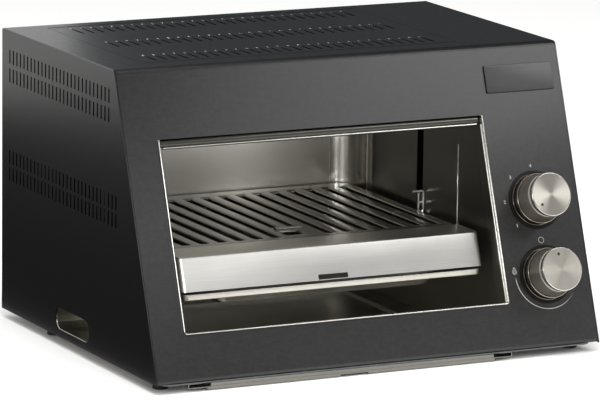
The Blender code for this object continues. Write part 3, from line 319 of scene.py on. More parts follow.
def finishMetal(name, tones, grain, clouds, rough, bump=0.0, fade=None):
    # Grain is a noise pulled out along the brushing, clouds are a slow one, both sized in
    # millimetres: their sum, from 0.7 to 1.3, mixes the tones and the roughness, and grain
    # lifts the surface. A fade turns the colour into another tone between two places.
    made, tree = newMaterial(name)
    place = addNode(tree, "ShaderNodeTexCoord", {}).outputs["Object"]
    along = addNode(tree, "ShaderNodeMapping", {"Vector": place,
                                                "Scale": [1 / (size * mm) for size in grain]})
    fine = addNode(tree, "ShaderNodeTexNoise", {"Vector": along.outputs["Vector"], "Scale": 1.0,
                                                "Detail": 4.0, "Roughness": 0.6})
    slow = addNode(tree, "ShaderNodeTexNoise", {"Vector": place, "Scale": 1 / (clouds * mm),
                                                "Detail": 2.0})
    both = addNode(tree, "ShaderNodeMath", {0: fine.outputs["Fac"], 1: slow.outputs["Fac"]},
                   operation="ADD")
    share = addNode(tree, "ShaderNodeMapRange", {"Value": both.outputs[0], "From Min": 0.7,
                                                 "From Max": 1.3})
    colour, dullness = toneAndRoughness(tree, share.outputs[0], tones, rough)
    if fade:
        way, start, end, tone = fade
        apart = addNode(tree, "ShaderNodeSeparateXYZ", {"Vector": place})
        part = addNode(tree, "ShaderNodeMapRange", {"Value": apart.outputs[way], "From Min": start,
                                                    "From Max": end})
        colour = addNode(tree, "ShaderNodeMix", {0: part.outputs[0], 6: colour, 7: toLinear(tone)},
                         data_type="RGBA").outputs[2]
    inputs = {"Base Color": colour, "Metallic": 1.0, "Roughness": dullness}
    if bump:
        lift = addNode(tree, "ShaderNodeBump", {"Height": fine.outputs["Fac"], "Strength": bump,
                                                "Distance": 0.1 * mm})
        inputs["Normal"] = lift.outputs["Normal"]
    shader = addNode(tree, "ShaderNodeBsdfPrincipled", inputs)
    addNode(tree, "ShaderNodeOutputMaterial", {"Surface": shader.outputs[0]})
    return made


# Dark coated steel, finely brushed: a soft grey sheen with level hairlines
darkSteel = finishMetal(
    "dark brushed steel", tones=("#454545", "#4b4b4b"), grain=(14, 1.2, 1.2), clouds=5,
    rough=(0.36, 0.42), bump=0.25)
# The same coating seen on the casing's sides and top, a little deeper in tone
casingSteel = finishMetal(
    "dark brushed casing steel", tones=("#484848", "#4d4e4e"), grain=(1.2, 14, 1.2), clouds=5,
    rough=(0.30, 0.36), bump=0.10)
# Raised plate: the panel's coating, a shade lighter and a little glossier
plateSteel = finishMetal(
    "dark brushed plate steel", tones=("#454546", "#505050"), grain=(50, 0.9, 0.9), clouds=60,
    rough=(0.36, 0.42), bump=0.08)
# Polished stainless steel: near-mirror trim that picks up the white room
polishedSteel = finishMetal(
    "polished stainless steel", tones=("#e4e2dc", "#eceae4"), grain=(240, 240, 240), clouds=300,
    rough=(0.11, 0.13))
# Rolled stainless of the guard bar: greyer than the frame, so it reads dark above, bright below
guardSteel = finishMetal(
    "rolled stainless steel", tones=("#53524d", "#5a5853"), grain=(60, 1.5, 1.5), clouds=80,
    rough=(0.28, 0.34))
# Brushed stainless on the apron: pale satin with level hairlines, darker on its flat top
apronSteel = finishMetal(
    "brushed stainless steel", tones=("#d8d7d2", "#e6e5e0"), grain=(60, 0.9, 0.9), clouds=90,
    rough=(0.27, 0.31), bump=0.03, fade=("Z", 0.1208, 0.1219, "#a29f97"))
# Cold-rolled stainless inside the grill: warm, blurred reflections
linerSteel = finishMetal(
    "bright rolled stainless steel", tones=("#d6d3cb", "#dcd9d1"), grain=(240, 240, 240),
    clouds=300, rough=(0.26, 0.30))
# The same sheet where it is rolled round the rear corners: glossier, and painted a little lighter as a
# highlight
cornerSteelPaintedLighter = finishMetal(
    "rolled stainless steel painted lighter as a highlight", tones=("#dedbd3", "#e8e5dd"), grain=(240, 240, 240),
    clouds=300, rough=(0.18, 0.22))
# The same sheet on the side walls with painted shade: a darker tone, darkest toward the burner
wallSteelPaintedShade = finishMetal(
    "rolled stainless steel with painted shade", tones=("#a3a097", "#aba89e"), grain=(90, 90, 14), clouds=120,
    rough=(0.30, 0.36), fade=("Z", 0.065, 0.14, "#524f49"))
# Satin stainless of the cooking rack, darkened a little by heat
rackSteel = finishMetal(
    "satin heat-toned stainless steel", tones=("#6b6962", "#787670"), grain=(1.2, 50, 1.2),
    clouds=45, rough=(0.20, 0.28), bump=0.03)
# Drawn stainless of the pan: an even, wide sheen
panSteel = finishMetal(
    "deep-drawn stainless steel", tones=("#c6c3ba", "#d6d3ca"), grain=(50, 1.2, 1.2), clouds=70,
    rough=(0.32, 0.40), bump=0.03)
# Pressed stainless of the crumb drawer and its runners: a wide, soft sheen. Painted shade: a dark tone
# at the front under the casing's edge, fading to pale steel behind
drawerSteel = finishMetal(
    "pressed satin stainless steel", tones=("#7b7974", "#86847e"), grain=(50, 1.2, 1.2), clouds=70,
    rough=(0.36, 0.42), bump=0.02, fade=("Y", -0.194, -0.182, "#d6d3ca"))
# Heat-toned stainless folded in behind the hand holes
liningSteel = finishMetal(
    "folded heat-toned stainless steel", tones=("#b4b1a8", "#bebbb1"), grain=(1.2, 40, 1.2),
    clouds=60, rough=(0.26, 0.32), bump=0.01)
# Base plate: zinc-plated steel with painted shade, a darker grey at the front, and painted light, a
# pale tone inside the grill space where a shaded gap lies
baseSteel = finishMetal(
    "zinc-plated steel with painted shade and painted light", tones=("#5d5f61", "#707274"), grain=(9, 9, 9), clouds=14,
    rough=(0.40, 0.50), bump=0.04, fade=("Y", -0.15, -0.13, "#c6c3ba"))
# Zinc-plated sheet hidden inside: mottled pale grey spangle
platedSteel = finishMetal(
    "hot-dip galvanised steel", tones=("#8d9195", "#b0b4b6"), grain=(9, 9, 9), clouds=14,
    rough=(0.35, 0.55), bump=0.12)
# Bent spring wire of the hooks: bright and evenly satin
hookSteel = finishMetal(
    "bright drawn spring wire", tones=("#e2e0da", "#f2f0ea"), grain=(1.0, 1.0, 6.0), clouds=30,
    rough=(0.26, 0.32))
# Bare pressed edges of the slots: pale bright metal
lipSteel = finishMetal(
    "bare pressed steel edge", tones=("#d5d4cf", "#f0efea"), grain=(1.0, 1.0, 1.0), clouds=10,
    rough=(0.25, 0.4), bump=0.05)
# Turned brass: yellow metal with fine rings
turnedBrass = finishMetal(
    "turned brass", tones=("#b08a45", "#cfab62"), grain=(1.0, 12, 1.0), clouds=25,
    rough=(0.22, 0.36), bump=0.08)
# Turned and polished collar: white room above, warm panel light below
collarSteel = finishMetal(
    "polished nickel-plated steel", tones=("#8f897f", "#9d968b"), grain=(1.0, 1.0, 1.0), clouds=30,
    rough=(0.12, 0.18))
# Base ring: dull steel painted near black as the shade round the knob, so only its edge catches light
ringSteel = finishMetal(
    "dull steel ring painted dark as shade", tones=("#252423", "#2d2c2a"), grain=(1.0, 1.0, 1.0), clouds=30,
    rough=(0.40, 0.50))
# Knurled grip: grey anodised metal whose tiny diamonds are real geometry
knurledMetal = finishMetal(
    "knurled anodised aluminium", tones=("#aaa59c", "#bfbab0"), grain=(1.2, 1.2, 1.2), clouds=20,
    rough=(0.34, 0.42), bump=0.03)


def radialMetal(name, tones, rings, rough, spread):
    # Rings turned into the face: tone and roughness ride on a noise of angle and radius, and
    # the shader's own anisotropy along the tangent spreads light into sectors.
    made, tree = newMaterial(name)
    place = addNode(tree, "ShaderNodeTexCoord", {})
    fine = addNode(tree, "ShaderNodeTexNoise", {"Vector": place.outputs["UV"], "Detail": 3.0,
                                                "Scale": rings})
    colour, dullness = toneAndRoughness(tree, fine.outputs["Fac"], tones, rough)
    roundWay = addNode(tree, "ShaderNodeTangent", {}, direction_type="UV_MAP", uv_map="face")
    shader = addNode(tree, "ShaderNodeBsdfPrincipled", {
        "Base Color": colour, "Metallic": 1.0, "Roughness": dullness,
        "Anisotropic": spread, "Tangent": roundWay.outputs[0]})
    addNode(tree, "ShaderNodeOutputMaterial", {"Surface": shader.outputs[0]})
    return made


# Spin-brushed stainless cap: bright and dull sectors that meet at the middle
capFace = radialMetal(
    "spin-brushed stainless steel", tones=("#c6c1b7", "#d8d3c9"), rings=60.0, rough=(0.28, 0.34),
    spread=0.85)


def paintLike(name, tones, grit, rough, bump):
    # One fine noise, its grit in millimetres, mixes the tones, the roughness and the bump.
    made, tree = newMaterial(name)
    place = addNode(tree, "ShaderNodeTexCoord", {})
    fine = addNode(tree, "ShaderNodeTexNoise", {"Vector": place.outputs["Object"], "Detail": 5.0,
                                                "Scale": 1 / (grit * mm)})
    colour, dullness = toneAndRoughness(tree, fine.outputs["Fac"], tones, rough)
    lift = addNode(tree, "ShaderNodeBump", {"Height": fine.outputs["Fac"], "Strength": bump,
                                            "Distance": 0.2 * mm})
    shader = addNode(tree, "ShaderNodeBsdfPrincipled", {
        "Base Color": colour, "Roughness": dullness, "Normal": lift.outputs["Normal"]})
    addNode(tree, "ShaderNodeOutputMaterial", {"Surface": shader.outputs[0]})
    return made


# Moulded rubber feet: matt black, faintly grey where worn
footRubber = paintLike(
    "moulded black rubber", tones=("#0c0c0d", "#1c1c1d"), grit=1.5, rough=(0.6, 0.85), bump=0.3)
# Cordierite burner tile: chalky cream with tan firing marks
tileCeramic = paintLike(
    "pressed cordierite ceramic", tones=("#b9a98c", "#e6dcc6"), grit=6.0, rough=(0.8, 0.95),
    bump=0.5)
# Screen-printed marks: pale grey ink, a little uneven
printInk = paintLike(
    "screen-printed pale ink", tones=("#9c9c99", "#b6b6b2"), grit=1.0, rough=(0.45, 0.6), bump=0.1)
# Inlaid enamel dot on the knob: glossy black
dotEnamel = paintLike(
    "black enamel", tones=("#0d0d0d", "#1b1b1a"), grit=1.0, rough=(0.25, 0.4), bump=0.05)
print("materials made")


# Window: a polished frame and a folded guard bar under its upper side

windowSet = metres(
    leftMargin=37.6, rightMargin=99.8, bottom=49.4, topMargin=74.2, sheet=1.5, proud=2.5,
    depth=20.0, fold=1.5, radius=1.5, frameRise=1.2, lipWidth=2.0, lipOver=0.2, lipStart=0.5,
    lipGap=1.8, lipBehind=0.6, guardRadius=4.2, guardLeg=14.0, guardFront=0.8, guardSheet=1.0,
    guardRise=2.6, guardEnd=0.8, bead=0.75, beadStart=5.0, beadOut=0.8, beadSink=0.525,
    pin=3.0, pinHalf=0.5)
windowLeft = windowSet["leftMargin"] - casing["halfWidth"]
windowRight = casing["halfWidth"] - windowSet["rightMargin"]
windowTop = slopeLength - windowSet["topMargin"]
windowMiddle = (windowLeft + windowRight) / 2


def windowTrim(s):
    # The frame's section, a sheet with a half-round lip, carried down, across and up the window.
    # Behind the lip the sheet goes on as a return in the side walls' finish, darker by painted shade.
    half, sheet, front, back = s["sheet"] / 2, s["sheet"], -s["fold"], -s["depth"]
    lip = np.vstack([[(0, front)], arc((half, s["proud"] - half), half, 180, 0, 9),
                     [(sheet, front)]])
    deep = [(0, back), (0, front), (sheet, front), (sheet, back)]
    top = windowTop + s["frameRise"]
    for name, section, finish, replaced in (("window_frame", lip, polishedSteel, ["window_trim"]),
                                            ("window_return", deep, wallSteelPaintedShade, [])):
        rows = []
        for margin, out in section:
            left, right, low = windowLeft - margin, windowRight + margin, s["bottom"] - margin
            line = roundedPath([(left, top), (left, low), (right, low), (right, top)],
                               s["radius"] + margin, closed=False)
            rows.append(frontPoint(line[:, 0], line[:, 1], out))
        piece(name, [solid(np.stack(rows, 1))], finish, "casing", replaced)
    # Inside the right upright a folded strip shows its lip: a flat bar with a rounded inner edge.
    outer, level = windowRight + s["lipOver"], half - s["lipBehind"]
    strip = np.vstack([arc((windowRight - s["lipWidth"] + half, level), half, 270, 90, 9),
                       [(outer, level + half), (outer, level - half)]])
    ends = (s["bottom"] + s["lipStart"],
            windowTop + s["guardRise"] - 2 * s["guardRadius"] - s["lipGap"])
    piece("window_right_lip", [extruded(frontPoint, strip, ends, 1)], polishedSteel,
          "casing")


def guardBar(s):
    # A sheet bent round a half circle, carried from side to side, with a bead on its lower edge.
    top, radius, bead = windowTop + s["guardRise"], s["guardRadius"], s["bead"]
    middle = -s["guardFront"] - radius
    back = middle - s["guardLeg"]
    path = np.vstack([[(top, back)], arc((top - radius, middle), radius, 0, 180, 25),
                      [(top - 2 * radius, back)]])
    left, right = windowLeft + s["guardEnd"], windowRight - s["lipWidth"] - s["guardEnd"]
    bar = extruded(frontPoint, sheetSection(path, s["guardSheet"]), (left, right), 0)
    piece("guard_bar", [bar], guardSteel, "casing", ["window_guard_bar"])
    low, out = top - 2 * radius - s["beadSink"], middle + s["beadOut"]
    pin = left + s["pin"]
    runs = (np.linspace(left + s["beadStart"], right - bead, 5),
            np.linspace(pin - s["pinHalf"], pin + s["pinHalf"], 3))
    piece("guard_bar_bead", [tube(frontPoint(run, low, out), bead, 12) for run in runs],
          polishedSteel, "casing")


windowTrim(windowSet)
guardBar(windowSet)
print("window made")


# Rack: rounded bars between pressed slots, a grip hole, a bridge and a cross rib

rackSet = {
    "left": windowMiddle - 170.0 * mm, "right": windowMiddle + 170.0 * mm, "slots": 16,
    **metres(
        front=108.0, back=360.0, top=111.5, bottom=101.5, pitch=20.4, slotWidth=8.8, shift=1.4,
        slotFront=121.5, slotBack=337.5, slotRadius=0.9, edge=1.9, under=0.8, rim=5.0,
        cornerFront=4.0, cornerBack=14.0, cornerLeast=0.5, hole=(-46.0, -26.0, 128.0, 149.0),
        holeRadius=2.0, bridgeBack=168.0, bridge=(-44.5, -15.0, 156.0, 162.5),
        bridgeHeight=1.6, bridgeCorner=1.2, rib=301.0, ribWidth=8.0, ribDepth=4.0,
        ribEnd=17.2, ribCorner=1.5),
}


def edgeSection(s):
    # Distance in from an edge and height, from the underside over the rounded upper edge.
    return np.vstack([[(s["under"], s["bottom"]), (0, s["bottom"] + s["under"])],
                      arc((s["edge"], s["top"] - s["edge"]), s["edge"], 180, 90, 6)])


def slotCell(s, slot, radius, cell):
    # Rows of outlines that grow from a slot's edge to its rectangular cell, above and below.
    rows = [outlineRow(casingPoint, slot, -grow, radius + grow, z) for grow, z in edgeSection(s)]
    low, high = [outlineRow(casingPoint, cell, 0, sharp, s[side]) for side in ("bottom", "top")]
    return surface(np.stack([low, *rows, high]), closeColumns=True)


def cookingRack(s):
    # The slots' cells, the grip hole's cell and the border round them meet edge to edge.
    middle, half, wide = windowMiddle + s["shift"], s["pitch"] / 2, s["slotWidth"]
    low, high = s["slotFront"] - s["rim"], s["slotBack"] + s["rim"]
    first, last = middle - s["slots"] * half, middle + s["slots"] * half
    parts, cutCells = [], []
    for place in range(s["slots"]):
        x = first + (place + 0.5) * s["pitch"]
        beside = s["hole"][0] - wide / 2 < x < s["hole"][1] + wide
        front = s["bridgeBack"] if beside else s["slotFront"]
        if beside:
            cutCells.append(x)
        parts.append(slotCell(s, (x - wide / 2, x + wide / 2, front, s["slotBack"]),
                              s["slotRadius"], (x - half, x + half, front - s["rim"], high)))
    parts.append(slotCell(s, s["hole"], s["holeRadius"], (
        min(cutCells) - half, max(cutCells) + half, low, s["bridgeBack"] - s["rim"])))
    radii = np.array([s["cornerFront"]] * 2 + [s["cornerBack"]] * 2)
    edge = (s["left"], s["right"], s["front"], s["back"])
    rows = [outlineRow(casingPoint, edge, inset, np.maximum(radii - inset, s["cornerLeast"]), z)
            for inset, z in edgeSection(s)]
    inner = [outlineRow(casingPoint, (first, last, low, high), 0, sharp, s[side])
             for side in ("bottom", "top")]
    parts.append(surface(np.stack([inner[0], *rows, inner[1]]), closeColumns=True))
    piece("rack_plate", parts, rackSteel, "rack", ["grill_rack"], angle=50)


def rackRibs(s):
    # Rounded bars carried along x: the rib joins the rack's bars from below, and the bridge
    # stands a little proud behind the grip hole.
    middle, half = (s["top"] + s["bottom"]) / 2, s["ribWidth"] / 2
    left, right, front, back = s["bridge"]
    bars = {
        "rack_cross_rib": ((s["rib"] - half, s["rib"] + half, s["bottom"] - s["ribDepth"], middle),
                           s["ribCorner"], (s["left"] + s["ribEnd"], s["right"] - s["ribEnd"])),
        "rack_bridge": ((front, back, s["top"] - s["bridgeHeight"], s["top"] + s["bridgeHeight"]),
                        s["bridgeCorner"], (left, right)),
    }
    for name, (box, corner, ends) in bars.items():
        section = roundedPath(rectangle(box), corner, 5)
        piece(name, [extruded(casingPoint, section, ends, 0)], rackSteel, "rack")


cookingRack(rackSet)
rackRibs(rackSet)
print("rack made")


# Apron: a brushed sheet over the rack's front, folded back at both ends and along the top

apronSet = metres(
    half=168.25, rightReach=3.6, low=79.3, high=112.5, depth=22.0, rackGap=0.3, sheet=1.2,
    topEdge=1.3, corner=6.0, cornerLeast=0.4, backCorner=1.5, backLeast=0.3,
    slot=(-47.35, -14.05), slotLow=0.8, slotHeight=5.2, slotCorner=0.9, cutReach=6.0)


def apronRow(s, inset, z):
    # The plan at one height: its front follows the casing's slope, its back stays at the rack.
    front = z * math.tan(lean) + s["depth"] / cosLean
    box = (windowMiddle - s["half"], windowMiddle + s["half"] + s["rightReach"],
           front, rackSet["front"] - s["rackGap"])
    radii = ([max(s["corner"] - inset, s["cornerLeast"])] * 2
             + [max(s["backCorner"] - inset, s["backLeast"])] * 2)
    return outlineRow(casingPoint, box, inset, radii, z, 8)


def bakeCut(target, cutter):
    # Takes the cutter's solid out of the target and keeps the result as the target's own mesh.
    step = target.modifiers.new("cut", "BOOLEAN")
    step.operation, step.solver, step.object = "DIFFERENCE", "EXACT", cutter
    result = bakedMesh(target)
    target.modifiers.clear()
    result.name = target.name
    target.data = result
    bpy.data.objects.remove(cutter, do_unlink=True)


def rackApron(s):
    # Inner wall down, outer wall up, then a rounded upper edge that closes into a flat top.
    sheet, edge, high = s["sheet"], s["topEdge"], s["high"]
    steps = [(sheet, high - sheet), (sheet, s["low"]), (0, s["low"]),
             *arc((edge, high - edge), edge, 180, 90, 7)]
    apron = piece("rack_apron_sheet", [solid(np.stack([apronRow(s, *step) for step in steps]))],
                  apronSteel, "rack", ["rack_apron"])
    low = (s["low"] + s["slotLow"] + s["depth"] * sinLean) / cosLean
    line = roundedPath(rectangle((*s["slot"], low, low + s["slotHeight"])), s["slotCorner"], 5)
    hole = extruded(frontPoint, line, (-s["depth"] - s["cutReach"], s["cutReach"] - s["depth"]), 2)
    bakeCut(apron, newObject("cutter", joinedMesh("cutter", [hole])))


rackApron(apronSet)
print("apron made")


# Drip pan: a flanged tray whose front rim shows under the apron

panSet = metres(
    half=167.0, bodyHalf=127.0, floorHalf=119.0, front=49.5, back=352.0, bodyFront=66.0,
    bodyBack=340.0, slope=4.0, floor=60.5, flange=71.0, rim=77.0, sheet=1.0, bodyCorner=12.0,
    rimCorner=5.0, fold=1.0, bend=3.0, flare=(-1.4, 1.4, -0.7, 0.0))


def dripPan(s):
    # Outlines stacked from the floor's underside out to the rim and back down to its upper side;
    # the floor's bend, which flares with its angle, and the rim's folds are arcs of rows.
    t, fold, bend = s["sheet"], s["fold"], s["bend"]
    slope, (front, back) = s["slope"], (s["bodyFront"], s["bodyBack"])
    rim, body, floor = [(windowMiddle - half, windowMiddle + half, *ends) for half, ends in (
        (s["half"], (s["front"], s["back"])), (s["bodyHalf"], (front, back)),
        (s["floorHalf"], (front + slope, back - slope)))]
    steps = [(floor, bend, s["floor"])]
    for a in np.linspace(0, math.pi / 2, 5):
        steps.append((np.add(floor, np.multiply(s["flare"], a)), bend * (1 - math.sin(a)),
                      s["floor"] + bend * (1 - math.cos(a))))
    steps.append((body, 0, s["flange"]))
    steps += [(rim, *step) for step in arc((fold, s["flange"] + fold), fold, 270, 180, 5)]
    steps += [(rim, *step) for step in arc((t / 2, s["rim"] - t / 2), t / 2, 180, 0, 7)]
    steps += [(rim, t, s["flange"] + t), (body, t, s["flange"] + t),
              (floor, t, s["floor"] + 2 * t), (floor, bend, s["floor"] + t)]
    rows = [outlineRow(casingPoint, box, inset,
                       (s["rimCorner"] if box is rim else s["bodyCorner"]) - inset, z, 8)
            for box, inset, z in steps]
    piece("pan_tray", [solid(np.stack(rows))], panSteel, "pan", ["drip_pan"])


dripPan(panSet)
print("pan made")


# Knobs: a spun collar, a knurled grip, a polished cap with a spin-brushed face and a dot

knobSet = {
    "x": casing["halfWidth"] - 50.5 * mm, "knurlCount": 84, "knurlGrid": (34, 330),
    "capRise": 0.8, "dotTop": 0.8,
    **metres(
        heightSlope=152.5, gasSlope=75.1, ringRadius=30.4, ringBase=0.3, ringHeight=1.2,
        ringEdge=0.5, collarRadius=26.2, collarHeight=10.5, collarLip=0.9, collarFillet=0.3,
        bore=24.9, boreEdge=(0.2, 0.1, 0.5), gripRadius=24.5, gripTaper=1.9, gripBack=4.0,
        gripFront=29.5, gripChamfer=0.5, gripSeat=2.8, gripShoulder=(0.7, 0.9),
        knurlPitch=2.2, knurlDepth=0.42, knurlEnds=(2.5, 1.1), hub=1.0, capRadius=22.5,
        capBack=29.8, capFront=36.0, capEdge=0.8, capStep=(0.4, 0.1), capMiddle=0.4,
        faceRadius=21.8, faceMargin=0.3, faceDish=0.25, faceSink=0.02, dotRadius=1.5,
        dotAt=15.8, dotRise=(0.10, 0.08), dotDepth=0.2),
}


def onKnob(s, slope, grid):
    # A knob's own points (right, up the slope, out of the panel) put in place on the front.
    return frontPoint(s["x"] + grid[..., 0], slope + grid[..., 1], grid[..., 2])


def knobCollar(s, name, slope):
    # Two closed profiles swung round: a flat ring with a rounded edge, and the collar on it.
    bore, ring, wall = s["bore"], s["ringRadius"], s["collarRadius"]
    low, top = s["ringHeight"], s["collarHeight"]
    edge, fillet, lip = s["ringEdge"], s["collarFillet"], s["collarLip"]
    inward, drop, end = s["boreEdge"]
    flat = [(bore, s["ringBase"]), (ring, s["ringBase"]), (ring, low - edge),
            *arc((ring - edge, low - edge), edge, 0, 90, 6), (bore, low)]
    tall = [(bore, low), (wall + fillet, low),
            *arc((wall + fillet, low + fillet), fillet, 270, 180, 6),
            *arc((wall - lip, top - lip), lip, 0, 90, 6), (bore + inward, top - drop),
            (bore, top - end)]
    for ending, profile, finish, replaced in (
            ("_base_ring", flat, ringSteel, []),
            ("_collar_ring", tall, collarSteel, [name + "_collar"])):
        grid = onKnob(s, slope, latheGrid(profile, 96))
        piece(name + ending, [surface(grid, closeRows=True, closeColumns=True)], finish,
              "casing", replaced, angle=40)


def knobGrip(s, name, slope):
    # r = R + d (cos 2pi u + cos 2pi v) / 4 - d / 2, where u and v turn one way and the other
    # as the height grows, which leaves diamonds between crossing grooves.
    rows, columns = s["knurlGrid"]
    radius, front, collar = s["gripRadius"], s["gripFront"], s["collarHeight"]
    angle = np.linspace(0, 2 * math.pi, columns, endpoint=False)[None, :]
    height = np.linspace(collar - s["knurlEnds"][0], front - s["knurlEnds"][1], rows)[:, None]
    around = s["knurlCount"] * angle / (2 * math.pi)
    u, v = around + height / s["knurlPitch"], around - height / s["knurlPitch"]
    bump = (np.cos(2 * math.pi * u) + np.cos(2 * math.pi * v)) / 4 - 0.5
    taper = s["gripTaper"] * np.clip((height - collar) / (front - collar), 0, 1)
    reach = radius - taper + s["knurlDepth"] * bump
    knurl = np.stack([reach * np.cos(angle), reach * np.sin(angle),
                      np.broadcast_to(height, reach.shape)], -1)
    rear, chamfer, hub = s["gripBack"], s["gripChamfer"], s["hub"]
    back = [(hub, rear), (radius - 2 * chamfer, rear), (radius - chamfer, rear + chamfer),
            (radius - chamfer, collar - s["gripSeat"])]
    shoulder = radius - s["gripTaper"] - s["gripShoulder"][0]
    face = [(shoulder, front - s["gripShoulder"][1]), (shoulder, front), (hub, front)]
    grid = np.concatenate([latheGrid(back, columns), knurl, latheGrid(face, columns)])
    piece(name + "_grip_knurl", [solid(onKnob(s, slope, grid))], knurledMetal, name,
          [name + "_grip"], angle=60)


def knobCap(s, name, slope, dotClock):
    # The cap's rim is a quarter-round polished band; its face is a shallow dish of its own.
    rim, face, turned, sink = s["capRadius"], s["faceRadius"], s["capEdge"], s["faceSink"]
    back, front, edge = s["capBack"], s["capFront"], rim - face
    high, (step, drop) = s["capRise"] * edge, s["capStep"]
    band = [(s["hub"], back), (rim - turned, back),
            *arc((rim - turned, back + turned), turned, 270, 360, 7),
            *arc((face, front - high), (edge, high), 0, 90, 7),
            (face - step, front - drop), (s["hub"], front - s["capMiddle"])]
    piece(name + "_cap_band", [solid(onKnob(s, slope, latheGrid(band, 120)))], polishedSteel, name,
          [name + "_cap"], angle=40)
    share = np.linspace(0, 1, 16)
    dish = np.stack([(face - s["faceMargin"]) * share + sink,
                     front - s["faceDish"] * (1 - share ** 2) - sink], -1)
    made = piece(name + "_cap_face", [surface(onKnob(s, slope, latheGrid(dish, 128)),
                                              closeColumns=True)],
                 capFace, name, angle=60)
    faceMap(s, made, slope)
    clock, dot = math.radians(dotClock), s["dotRadius"]
    at = np.array([s["dotAt"] * math.sin(clock), s["dotAt"] * math.cos(clock), 0])
    level = front - s["faceDish"] * (1 - (s["dotAt"] / face) ** 2)
    dome = [(sink, level + s["dotRise"][0]), (dot * s["dotTop"], level + s["dotRise"][1]),
            (dot, level), (dot, level - s["dotDepth"])]
    piece(name + "_dot", [solid(onKnob(s, slope, latheGrid(dome, 28) + at))], dotEnamel, name)


def faceMap(s, made, slope):
    # A map whose first way runs round the face and whose second runs out from its middle.
    data = made.data
    across = meshPoints(data) - onKnob(s, slope, np.array([0.0, 0.0, s["capFront"]]))
    right = across[:, 0]
    up = across[:, 1] * sinLean + across[:, 2] * cosLean
    corner = np.empty(len(data.loops), int)
    data.loops.foreach_get("vertex_index", corner)
    angle = np.arctan2(up, right)[corner] / (2 * math.pi)
    starts = np.repeat([poly.loop_start for poly in data.polygons],
                       [poly.loop_total for poly in data.polygons])
    angle = np.where(angle - angle[starts] > 0.5, angle - 1, angle)
    angle = np.where(angle - angle[starts] < -0.5, angle + 1, angle)
    out = (np.hypot(right, up) / s["faceRadius"])[corner]
    data.uv_layers.new(name="face").data.foreach_set("uv", np.stack([angle, out], -1).ravel())


for knobName, knobSlope, dotClock in (("height_knob", knobSet["heightSlope"], 231),
                                      ("gas_knob", knobSet["gasSlope"], 353)):
    knobCollar(knobSet, knobName, knobSlope)
    knobGrip(knobSet, knobName, knobSlope)
    knobCap(knobSet, knobName, knobSlope, dotClock)
print("knobs made")


# Printed marks round the knobs: numbers 4 to 1, a ring, a flame and a swelling arc

markSet = {
    "clock": {"4": 0, "3": 315, "2": 270, "1": 225}, "arcFrom": 268, "arcTo": 127,
    "coreShare": 0.45, "taperAt": (0, 0.04, 0.75, 1), "taper": (0.35, 1, 0.8, 0.12),
    **metres(
        radius=35.5, size=4.86, swell=0.09, lift=0.05, thick=0.04, ring=3.0, line=0.55,
        flame=(-36.0, 6.4), flameHalf=(2.875, 3.6), coreDrop=1.1, coreLine=0.4,
        arcRadius=35.6, arcWide=0.85),
}


def letterMark(s, knobs, text, clock):
    # A number as flat text made a mesh, then laid on the panel at its clock place.
    line = bpy.data.curves.new("number " + text, "FONT")
    line.body, line.size, line.extrude, line.offset = text, s["size"], s["thick"], s["swell"]
    line.align_x, line.align_y = "CENTER", "CENTER"
    holder = newObject("number " + text, line)
    flat = bakedMesh(holder)
    bpy.data.objects.remove(holder, do_unlink=True)
    spots, turn = meshPoints(flat), math.radians(clock)
    placed = frontPoint(knobs["x"] + s["radius"] * math.sin(turn) + spots[:, 0],
                        knobs["heightSlope"] + s["radius"] * math.cos(turn) + spots[:, 1],
                        s["lift"] + spots[:, 2])
    faces = [list(poly.vertices) for poly in flat.polygons]
    bpy.data.meshes.remove(flat)
    piece("print_number_" + text, [(placed, faces)], printInk, "casing")


def stripMark(s, knobs, name, line, widths):
    # A flat line of changing width: each point steps sideways along the line's own normal.
    tangent = np.gradient(line, axis=0)
    tangent /= np.linalg.norm(tangent, axis=1)[:, None]
    side = np.stack([-tangent[:, 1], tangent[:, 0]], -1) * np.reshape(widths, (-1, 1)) / 2
    low, high = s["lift"], s["lift"] + s["thick"]
    rows = [(line - side, high), (line + side, high), (line + side, low), (line - side, low)]
    grid = np.stack([frontPoint(knobs["x"] + edge[:, 0], knobs["gasSlope"] + edge[:, 1], out)
                     for edge, out in rows], 1)
    piece(name, [solid(grid)], printInk, "casing")


def knobMarks(s, knobs):
    # The flame's half width is sin a (sin a/2)^1.4 and its height cos a, for a once round.
    for text, clock in s["clock"].items():
        letterMark(s, knobs, text, clock)
    stripMark(s, knobs, "print_ring", arc((0, s["radius"]), s["ring"], 0, 360, 41), s["line"])
    around = 2 * math.pi * np.linspace(0, 1, 33)
    shape = np.stack([np.sin(around) * np.sin(around / 2) ** 1.4, np.cos(around)], -1)
    flame = shape * s["flameHalf"]
    stripMark(s, knobs, "print_flame", s["flame"] + flame, s["line"])
    stripMark(s, knobs, "print_flame_core", s["flame"] + s["coreShare"] * flame
              - np.array([0, s["coreDrop"]]), s["coreLine"])
    clock = np.radians(np.linspace(s["arcFrom"], s["arcTo"], 72))
    line = s["arcRadius"] * np.stack([np.sin(clock), np.cos(clock)], -1)
    taper = np.interp(np.linspace(0, 1, 72), s["taperAt"], s["taper"])
    stripMark(s, knobs, "print_arc", line, s["arcWide"] * taper)


knobMarks(markSet, knobSet)
print("marks printed")


# Wire hooks beside the rack

hookSet = metres(radius=1.3, bend=2.6, out=174.25, reachOut=180.0, tipOut=167.3, y=200.6,
                 low=107.2, high=129.6, link=117.6)


